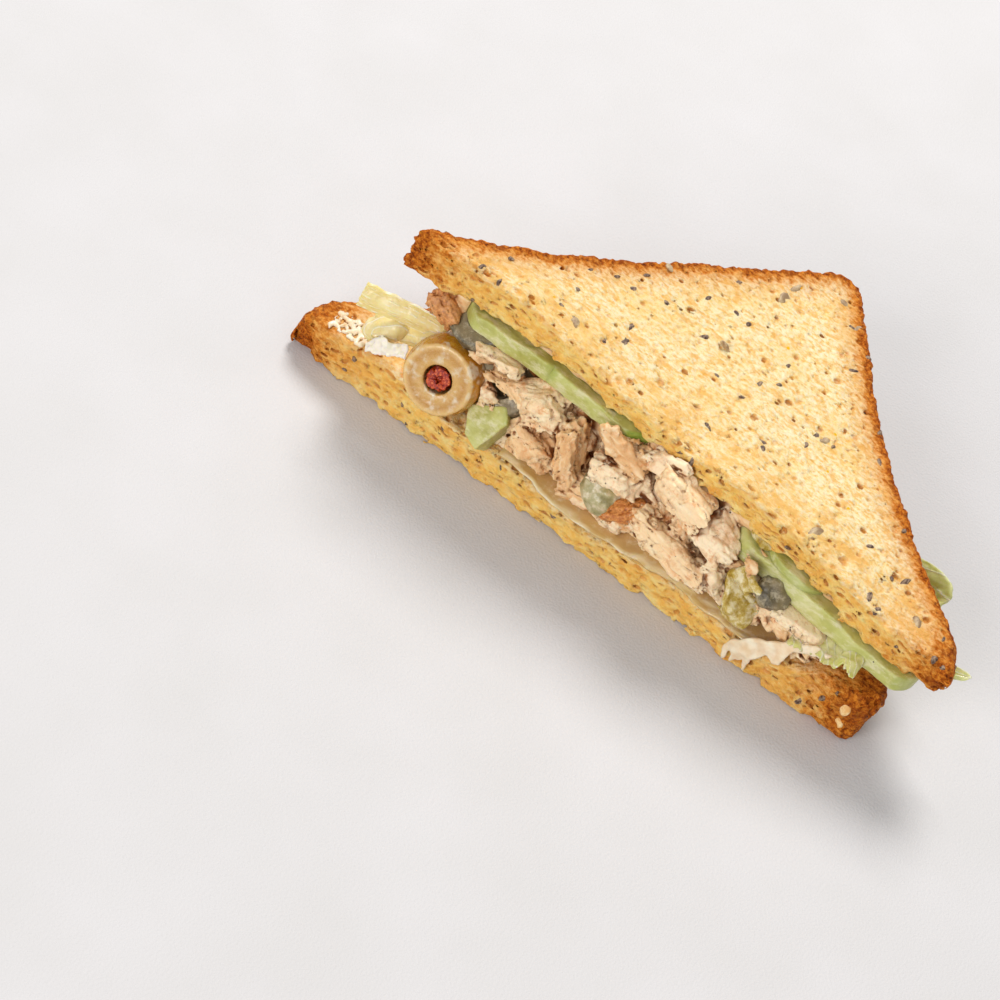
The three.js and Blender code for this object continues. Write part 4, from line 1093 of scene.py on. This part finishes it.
def pimento():
    random = np.random.default_rng(22)
    strands = []
    for i in range(8):  # a tangle of strands, from the upper left of the hole to its lower right
        start, path = random.uniform(0, 2 * math.pi), []
        for t in np.linspace(0, 1, 7):
            angle = start + (2.4 + 1.6 * random.random()) * t
            out = 2.5 * math.sqrt(random.uniform(0.1, 1))
            height = -2.2 + 1.7 * math.sin(math.pi * t) + 0.06 * i
            path.append((out * math.cos(angle), out * math.sin(angle), height))
        strands.append(curl(path, random.uniform(0.32, 0.55, 7), 0.12, 0.6, i))
    bed = curl([(-1.1, 0.9, -3.8), (0.9, -0.9, -3.6)], [2.3, 2.3], 0.3, 1.2, 1)

    def distance(x, y, z):
        tangle = np.minimum.reduce([part(x, y, z) for part in (*strands, bed)])
        return np.maximum(np.maximum(tangle, np.hypot(x, y) - 2.95), z + 0.25)

    def values(points, normals):
        # how far a point stands up out of the painted shade at the bottom of the hole
        return dict(raised=smoothstep(points[:, 2], -2.4, -1.2))

    carved("pimento_curl", (3.2, 3.2, 0.4), distance, "pimento", "pimento", ("pimento",),
           OLIVE_PLACE, values, 16000, (-3.2, -3.2, -6), 0.16)


def dark_olives():
    for seed, (node, length, width, thick, place, hole) in enumerate(DARK_OLIVES, 60):
        def distance(x, y, z):
            flat = ellipse_distance(x, y, length, width) + 0.02 * z * z
            ring = rounded(flat, np.abs(z) - thick / 2, 0.7)
            groove = 0.35 * np.sin(z * 2.2 + 0.6 * noise(x / 3, y / 3, 0, seed)) * (thick > 6)
            ring = np.maximum(ring + groove * 0.5, hole - np.hypot(x, y))
            return ring + 0.2 * ripple(x, y, z, 2.4, seed)

        def values(points, normals):
            edge = -ellipse_distance(points[:, 0], points[:, 1], length, width)
            return dict(skin=fade(edge, 0.5, 1.1))

        reach = (length / 2 + 1, width / 2 + 1, thick / 2 + 1)
        carved("dark_" + node, reach, distance, "dark_olive", "dark_olive", (node,), place,
               values, 18000)

    def bit(x, y, z):
        d = np.maximum(lump(x, y, z, 4, 3.5, 3.7), x * 0.4 + z * 0.8 - 2.4)
        return d + 0.5 * ripple(x, y, z, 2.6, 63) + 0.15 * noise(x, y, z, 64)

    def skin(points, normals):
        return dict(skin=smoothstep(ripple(*points.T, 3, 65), -0.4, 0.3))

    carved("dark_olive_bit", (5, 5, 5), bit, "dark_olive", "dark_olive", ("olive_chunk",),
           Place((46, 2.6, 23.2), (20, 10, 0)), skin, 8000)


def cucumber_wedge():
    corners = [(-5.6, 0.6), (1.6, 6.2), (4.4, 3.4), (2.8, -5.4), (-1.6, -4.6)][::-1]

    def distance(x, y, z):
        side = outline_distance(x / (0.9 + 0.1 * z / WEDGE_HALF), y, corners)
        block = rounded(side, np.abs(z) - WEDGE_HALF, 0.35)
        return block + 0.22 * ripple(x, y, z, 3, 71) + 0.08 * noise(x, y, z, 72)

    def values(points, normals):
        x, y, _ = points.T
        return dict(skin=0.5 * smoothstep(x + y, 5.8, 8.4), core=np.full(len(x), 0.3))

    carved("cucumber_wedge", (6, 8, 4.4), distance, "cucumber", "cucumber", ("cucumber_chunk",),
           Place((-25.2, 1.8, 15.2), (48, 0, -14)), values, 12000, (-7, -7, -4.4))


def pickle_dome():
    def distance(x, y, z):
        d = lump(x, y, z, 6.1, 4.2, 4.6)
        return d + 0.5 * ripple(x, y, z, 3, 74) + 0.12 * ripple(x, y, z, 1.1, 75)

    carved("pickle_dome", (7.5, 5.5, 6), distance, "dome", "pickle", ("pickle_round",),
           Place((4.6, 2.2, 18.2), (-20, 14, 0)), most=10000)


def pickle_bit():
    def distance(x, y, z):
        return lump(x, y, z, 3.4, 2.3, 1.6) + 0.35 * ripple(x, y, z, 1.8, 100)

    carved("pickle_bit", (4.4, 3.4, 2.6), distance, "pickle", "pickle", ("pickle_sliver",),
           Place((38, 7.4, 31), (0, 12, -20)), most=5000)


# ------------------------------------------------------------------ leaves

LEAF_THICKNESS = 0.8


def leaf(name, node, surface, columns, rows, look, slot, wrinkle, size, ribs, thick=LEAF_THICKNESS):
    """A thin wavy sheet round a middle surface, which takes u and v from 0 to 1. Its ribs run
    along u, or slantwise if their number is negative."""
    u, v = np.meshgrid(np.linspace(0, 1, columns + 1), np.linspace(0, 1, rows + 1))
    u, v = u.ravel(), v.ravel()
    step = 0.004
    at = lambda a, b: np.stack(np.broadcast_arrays(*surface(a, b)), -1).astype(float)
    middle = at(u, v)
    normal = np.cross(at(u + step, v) - at(u - step, v), at(u, v + step) - at(u, v - step))
    normal /= np.maximum(np.linalg.norm(normal, axis=1, keepdims=True), 1e-9)
    x, y, z = middle.T
    middle = middle + normal * (wrinkle * ripple(x, y, z, size, 81))[:, None]
    rim = np.minimum(np.minimum(u, 1 - u) * columns, np.minimum(v, 1 - v) * rows)
    half = thick / 2 * (0.45 + 0.55 * smoothstep(rim, 0, 4))
    fine = 0.07 * ripple(x, y, z, 0.8, 82)
    points = np.concatenate([middle + normal * (half + fine)[:, None],
                             middle - normal * (half - fine)[:, None]])
    width, layer = columns + 1, (columns + 1) * (rows + 1)
    i, j = np.meshgrid(np.arange(columns), np.arange(rows))
    a = (j * width + i).ravel()
    front = np.stack([a, a + 1, a + 1 + width, a + width], 1)
    border = np.concatenate([
        np.arange(columns), columns + width * np.arange(rows),
        rows * width + np.arange(columns, 0, -1), width * np.arange(rows, 0, -1)])
    following = np.roll(border, -1)
    wall = np.stack([border + layer, following + layer, following, border], 1)
    faces = np.concatenate([front, (front + layer)[:, ::-1], wall])
    bend = 0.06 * noise(u * 4, v * 3, 0.5, 83)
    across = v + bend if ribs > 0 else u * 1.4 + v * 0.6 + bend
    vein = smoothstep(np.abs(np.sin(across * math.pi * abs(ribs))), 0.28, 0.05)
    edge = fade(rim, 2, 14)
    return piece(name, points, faces, look, slot, (node,), CUT,
                 lambda p, n: dict(vein=np.tile(vein, 2), edge=np.tile(edge, 2)))


def under(u, v):  # the pale leaf along the lower slice
    y = -0.9 + 68 * v
    behind = np.maximum(y, 0)
    crust = 80 - 3.8 + 1.2 - behind
    ragged = 1.6 * np.sin(9 * v + 2) + 0.6 * noise(v * 40, 0.3, 0.1, 91)
    left = -20 + (-crust + ragged + 20) * smoothstep(v, 0.08, 0.4)
    right = 41 + (crust + ragged - 41) * smoothstep(v, -0.1, 0.3)
    x = left + (right - left) * u
    wave = 0.45 + 0.45 * np.sin(x * 0.33 + y * 0.2)
    front = 0.5 * noise(x / 3, 0.5, 0.5, 92) * fade(v, 0, 0.05)
    return x, y + front, floor_at(x, behind) + 1.5 + wave


def strip(u, v):  # a strip at the left
    x, y, z = (a + (b - a) * u for a, b in ((-43.5, -62.5), (5.5, 0), (24.4, 25.5)))
    frayed = 0.5 * noise(v * 5, 0.2, 0.7, 93) * smoothstep(u, 0.8, 1)
    z = z + 1.4 * np.sin(3 * u) * (1 - u) + 5.6 * (v - 0.3) * (0.75 + 0.35 * u)
    return x + frayed, y + 1.6 * v + 0.35 * np.sin(v * 9), z + 0.25 * noise(u * 7, v, 0.4, 94)


def fold(u, v):  # the fold under the strip
    z = 15.5 + 4.5 * u + (6.0 - 1.2 * np.sin(math.pi * u)) * v
    return (-59.5 + 15.0 * u + 2.5 * (1 - v) * (1 - u), 4.2 - 1.6 * np.sin(math.pi * v) + 0.8 * u,
            z + 0.3 * noise(u * 6, v, 0.2, 103))


def cup(u, v):  # a bubble of leaf that bulges towards the front
    angle, polar = 2 * math.pi * (u - 0.25), math.pi * (0.08 + 0.46 * v)
    cos, sin = np.cos(angle), np.sin(angle)
    radius = 4.9 * np.sin(polar) * (1 + 0.08 * noise(cos * 1.5, sin * 1.5, 0.2, 95))
    return (-55.6 + radius * (0.92 * cos + 0.35 * sin), 3.4 - 3.8 * np.cos(polar),
            19.4 + radius * (0.85 * sin + 0.25 * cos))


def frill(u, v):
    ragged = 0.8 * noise(u * 22, 0.2, 0.4, 97) * fade(v, 0, 0.3)
    waves = 0.9 * np.sin(17 * u) * (1 - 0.6 * v) + 0.2 * np.sin(43 * u) * (1 - v)
    return (54 + 15.5 * u, -1.2 + 12 * v - 0.6 * np.sin(15 * u) + ragged,
            17.2 + 4.8 * u + waves + 1.2 * v)


def behind_pickle(u, v):
    return 46.5 + 7 * u, 4 + 9 * v + 1.2 * np.sin(4 * u), 14.4 + 5.5 * v + 1.1 * u


def past_crust(u, v):
    y = 8 + 34 * u
    ruffle = np.exp(-((u - 0.14) / 0.1) ** 2) + 1.2 * np.exp(-((u - 0.6) / 0.16) ** 2)
    reach = 93 + 8 * ruffle - 6 * fade(u, 0.03, 0.12)
    reach = reach + 0.7 * noise(u * 26, 0.3, 0.1, 98) * (v > 0.5)
    curl_up = 7.5 * v ** 3 * (0.3 + 0.7 * ruffle)
    return 82 + (reach - 82) * v - y, y, 18.6 + 0.04 * y + curl_up + 0.9 * np.sin(21 * u) * v


def crumpled(u, v):  # the pickle slice, which is a sheet as well
    return (40.6 + 6.4 * (u - 0.5) + 1.4 * np.sin(7 * v) + 0.5 * noise(v * 7, 0.1, 0.2, 99),
            0.4 - 1.8 * np.sin(5.2 * v + 3 * u) + 0.6 * np.sin(13 * v + 4 * u), 12.6 + 13.8 * v)


def scrap(u, v):  # a torn white edge of the cup, in front of it
    ragged = 0.8 * noise(u * 5, 0.1, 0.6, 101) + 0.5 * noise(u * 12, 0.1, 0.3, 102)
    ragged = ragged * np.abs(2 * v - 1)
    wide = (3.6 - 1.2 * np.cos(8 * u)) * v * np.sin(math.pi * (0.15 + 0.7 * u))
    return (-56.4 + 9.6 * u - 0.8 * v, -2.4 + 1.2 * np.sin(9 * u) * v + 1.2 * v,
            15.6 + 5.6 * u + wide + ragged)


def leaves():
    pale, green = "lettuce", "green_lettuce"
    leaf("leaf_under", "lettuce_base", under, 170, 60, "soaked_leaf", pale, 0.25, 3, 9)
    leaf("leaf_strip", "lettuce_strip", strip, 110, 30, "pale_leaf", pale, 0.2, 3, 7, 1.1)
    leaf("leaf_fold", "lettuce_strip", fold, 80, 30, "pale_leaf", pale, 0.25, 2.6, 4, 0.7)
    leaf("leaf_cup", "lettuce_cup", cup, 90, 40, "pale_leaf", pale, 0.3, 2.4, -3, 0.7)
    leaf("leaf_frill", "lettuce_frill", frill, 150, 55, "frill_leaf", green, 0.35, 1.8, -7)
    leaf("leaf_behind", "lettuce_green", behind_pickle, 40, 40, "green_leaf", green, 0.4, 2, 4)
    leaf("leaf_edge", "lettuce_edge", past_crust, 150, 45, "edge_leaf", green, 0.3, 1.8, -8)
    leaf("pickle_slice", "pickle_crumpled", crumpled, 60, 100, "pickle", "pickle",
         0.45, 1.8, 3, 1.7)
    pickle_bit()
    leaf("leaf_scrap", "lettuce_cup", scrap, 80, 30, "white_leaf", pale, 0.35, 1.3, 0, 0.7)


# ------------------------------------------------------------------ dressing

# A thin smear with drips, as its outline in x and z
SMEAR = [
    (43.2, 1.0), (44.4, 4.4), (45.4, 1.6), (46.4, 4.0), (47.6, 5.2), (48.6, 2.4), (49.2, 6.6),
    (51.6, 10.4), (53.4, 9.8), (54.8, 11.0), (56.0, 15.6), (60.5, 18.6), (64.0, 21.4), (59.6, 20.6),
    (54.6, 18.0), (51.6, 14.6), (48.4, 13.2), (45.6, 10.0), (43.4, 7.4), (42.4, 4.0)]
SMEAR_FRONT = -1.3
SMEAR_THICKNESS = 0.9
CRUMBS = 150


def dressing():
    def distance(x, y, z):
        floor = floor_at(x[:, :, 0], np.zeros_like(x[:, :, 0]))
        lying = SMEAR_FRONT + 0.16 * np.maximum(z - floor[:, :, None], 0)
        ragged = 0.6 * noise(x / 2.5, 0.4, z / 2.5, 110)
        flat = outline_distance(x[:, :1], z[:, :1], SMEAR) + ragged[:, :1]
        depth = np.abs(y - lying + 0.5 * noise(x / 3, 0.2, z / 3, 112)) - SMEAR_THICKNESS / 2
        return rounded(flat, depth, SMEAR_THICKNESS * 0.45) + 0.2 * ripple(x, y, z, 1.6, 113)

    low, high = np.min(SMEAR, axis=0) - 1.5, np.max(SMEAR, axis=0) + 1.5
    carved("dressing", (high[0], 3, high[1]), distance, "mayo", "chicken", most=14000,
           low=(low[0], -4, low[1]))


def crumbs():
    """Damp crumbs on the lower slice's left tip."""
    random = np.random.default_rng(9)
    field = Field((-70, -0.5, 9), (-54, 9, 16), SMALL_STEP * COARSE)
    for i in range(CRUMBS):
        x, y, radius = random.uniform((-68.5, 0.8, 0.2), (-57, 7, 0.65))
        at = np.array([x, y, float(floor_at(x, y)) + 0.2])

        def distance(*xyz):
            ball = np.sqrt(sum((a - b) ** 2 for a, b in zip(xyz, at))) - radius
            return ball + 0.2 * ripple(*xyz, 0.6, 120 + i)

        field.unite(at - radius - 1, at + radius + 1, distance)
    piece("crumbs", *field.surface(), "mayo", "chicken", most=20000)


# ------------------------------------------------------------------ seeds

# Where seeds show on the upper slice, as x and y in its frame, and along the two cuts, as x and z
DARK_ON_TOP = [
    (-32.0, 31.9), (-17.1, 49.2), (-31.4, 26.5), (-24.2, 29.5), (-12.6, 41.2), (-8.8, 41.0),
    (7.3, 61.4), (-5.4, 22.5), (2.0, 28.3), (5.1, 32.3), (1.7, 22.2), (1.0, 9.2), (3.7, 38.5),
    (22.4, 43.3), (12.2, 14.3), (14.1, 15.2), (18.3, 27.8), (31.8, 34.3), (-24.0, 12.2),
    (-25.6, 17.0), (-13.4, 28.7), (14.7, 56.9), (14.3, 50.8), (-55.9, 1.4), (-51.0, 1.0),
    (-53.7, 9.2), (-40.6, 22.4), (-36.0, 25.7), (-39.3, 15.2), (-31.5, 26.3), (-38.5, 7.4),
    (-26.9, 8.4), (-23.9, 12.2), (-25.5, 17.3), (48.8, 2.6), (51.8, 1.2), (49.9, 10.2),
    (52.5, 11.9), (45.5, 22.9), (51.2, 20.8), (65.9, 6.4), (67.0, 1.0), (69.3, 1.4), (42.0, 12.3)]
GREY_ON_TOP = [
    (-29.4, 38.8), (8.6, 62.3), (-7.5, 54.6), (-7.2, 58.6), (2.6, 66.7), (-8.8, 31.1), (-34.6, 6.7),
    (20.2, 28.8), (32.3, 4.8), (59.8, 5.1)]
ON_TOP_CUT = [(0.6, -2.6), (3.5, -1.8), (-54.0, -7.9), (59.9, -5.1), (30, -3)]
ON_BOTTOM_CUT = [
    (-60.6, 3.8), (-59.3, 8.7), (-44.9, 6.2), (-42.6, 1.3), (-34.6, 7.2), (-3.6, 5.1), (7.4, 1.7),
    (-18.7, 8.4), (62.0, 3.3), (66.1, 8.7), (68.1, 12.4)]
OATS = [(71.2, 9.6), (71.2, 5.2)]
CRUST_SEEDS = 14  # along each crust of each slice
MORE_SEEDS = 6  # on the upper face


def surface_finder(obj, place):
    """Finds where a line from a point in the frame of `place` meets a piece."""
    tree = BVHTree.FromPolygons(
        [v.co for v in obj.data.vertices], [p.vertices for p in obj.data.polygons])

    def find(start, direction):
        start = (place.out(np.array(start, float)) + CUT_ORIGIN) * MM
        ray = place.rotation @ np.array(direction, float)
        hit, normal, _, _ = tree.ray_cast(Vector(start), Vector(ray))
        return None if hit is None else (np.array(hit) / MM - CUT_ORIGIN, np.array(normal))

    return find


def grains(name, look, spots, size, seed, sink):
    """A piece of flattened grains that lie on the given spots."""
    ball = bmesh.new()
    bmesh.ops.create_icosphere(ball, subdivisions=2, radius=0.5)
    shell = np.array([v.co for v in ball.verts])
    triangles = np.array([[v.index for v in f.verts] for f in ball.faces])
    ball.free()
    random = np.random.default_rng(seed)
    points, faces = [], []
    for at, normal in filter(None, spots):
        scale = np.array(size) * random.uniform(0.75, 1.25, 3)
        lumpy = shell * (1 + 0.3 * noise(*(shell * 2.2 + random.uniform(0, 40)).T, seed))[:, None]
        pointed = 1 - 0.35 * np.clip(lumpy[:, 0] * 2, 0, 1) ** 2
        own = lumpy * scale * np.stack([np.ones_like(pointed), pointed, np.ones_like(pointed)], 1)
        tilt = Euler(random.uniform((-0.35, -0.35, 0), (0.35, 0.35, 6.3)))
        turn = np.array(Vector(normal).to_track_quat("Z", "Y").to_matrix() @ tilt.to_matrix())
        faces.append(triangles + len(points) * len(shell))
        points.append(own @ turn.T + at - normal * scale[2] * sink)
    piece(name, np.concatenate(points), np.concatenate(faces), look, "bread")


def seeds(top, bottom):
    on_top, on_bottom = surface_finder(top, TOP_PLACE), surface_finder(bottom, CUT)
    random = np.random.default_rng(5)
    above, before = 9, -9  # where the lines start, over the upper face and in front of the cut
    down, back = (0, 0, -1), (0, 1, 0)
    dark = [on_top((x, y, above), down) for x, y in DARK_ON_TOP]
    dark += [on_top((x, before, z), back) for x, z in ON_TOP_CUT]
    dark += [on_bottom((x, before, z), back) for x, z in ON_BOTTOM_CUT]
    for side in (-1, 1):  # along the crusts
        for _ in range(CRUST_SEEDS):
            t, z = random.uniform((0.05, 2), (0.95, 10))
            start = np.array([side * (80 - 74 * t + 25), 4 + 74 * t + 25, z])
            inward = np.array([-side, -1, 0]) / math.sqrt(2)
            dark.append(on_bottom(start, inward))
            dark.append(on_top(start - (0, 0, 12.5), inward))
    for _ in range(MORE_SEEDS):
        x, y = random.uniform((-50, 2), (50, 60))
        dark.append(on_top((x * 0.9 + 6, y, above), down))
    grey = [on_top((x, y, above), down) for x, y in GREY_ON_TOP]
    oats = [on_bottom((x, before, z), back) for x, z in OATS]
    grains("seeds_dark", "dark_seed", dark, (2.2, 1.25, 0.8), 31, 0.3)
    grains("seeds_grey", "grey_seed", grey, (3.9, 2.7, 1.0), 32, 0.4)
    grains("oat_flakes", "oat", oats, (4.0, 2.9, 0.8), 33, 0)


heap()
heap_behind()
cucumbers()
green_olive()
pimento()
dark_olives()
cucumber_wedge()
pickle_dome()
leaves()
dressing()
crumbs()
seeds(slice_top, slice_bottom)

# ------------------------------------------------------------------ stage, camera and light

CAMERA_AT = (115.512, -374.464, 453.882)
CAMERA_RIGHT = (0.78937597, 0.56607898, 0.23757139)
CAMERA_UP = (-0.57388704, 0.54298194, 0.61304509)
CAMERA_FORWARD = (-0.21803497, 0.6202622, -0.75348228)
FOCAL_LENGTH = 100
SENSOR = 36
TABLE_HALF = 4.0  # metres, like the lamps' places
LIT = (0, 0, 0.02)  # what the lamps point at


def stage():
    look = Look("table", 0.2)
    colour = look.ramp(look.noise(30, 3), 0.3, (208, 205, 203), 0.7, (212, 209, 208))
    look.done(colour, 0.7, look.noise(0.6, 1), 0.1)
    mesh = bpy.data.meshes.new("table")
    s = TABLE_HALF
    mesh.from_pydata([(-s, -s, 0), (s, -s, 0), (s, s, 0), (-s, s, 0)], [], [(0, 1, 2, 3)])
    floor = placed(bpy.data.objects.new("table", mesh))
    mesh.materials.append(look.material)


def camera():
    data = bpy.data.cameras.new("camera")
    data.lens, data.sensor_width = FOCAL_LENGTH, SENSOR
    data.clip_start, data.clip_end = 0.01, 50
    obj = placed(bpy.data.objects.new("camera", data))
    turn = Matrix((CAMERA_RIGHT, CAMERA_UP, [-c for c in CAMERA_FORWARD])).transposed().to_4x4()
    at = (np.array(CAMERA_AT) + CUT_ORIGIN) * MM
    obj.matrix_world = Matrix.Translation(at) @ turn
    bpy.context.scene.camera = obj


def lamp(name, at, size, power):
    data = bpy.data.lights.new(name, "AREA")
    data.shape, data.size, data.energy = "DISK", size, power
    obj = placed(bpy.data.objects.new(name, data))
    obj.location = at
    obj.rotation_euler = (Vector(at) - Vector(LIT)).to_track_quat("Z", "Y").to_euler()


def light():
    world = bpy.data.worlds.new("studio")
    world.use_nodes = True
    background = world.node_tree.nodes["Background"]
    background.inputs["Color"].default_value = (0.98, 0.985, 1.0, 1)
    background.inputs["Strength"].default_value = 0.48
    bpy.context.scene.world = world
    lamp("key", (-0.35, 0.8, 1.2), 0.6, 17.5)
    lamp("fill", (-0.25, -1.4, 0.8), 1.0, 13.5)
    bpy.context.scene.view_settings.view_transform = "Standard"


stage()
camera()
light()
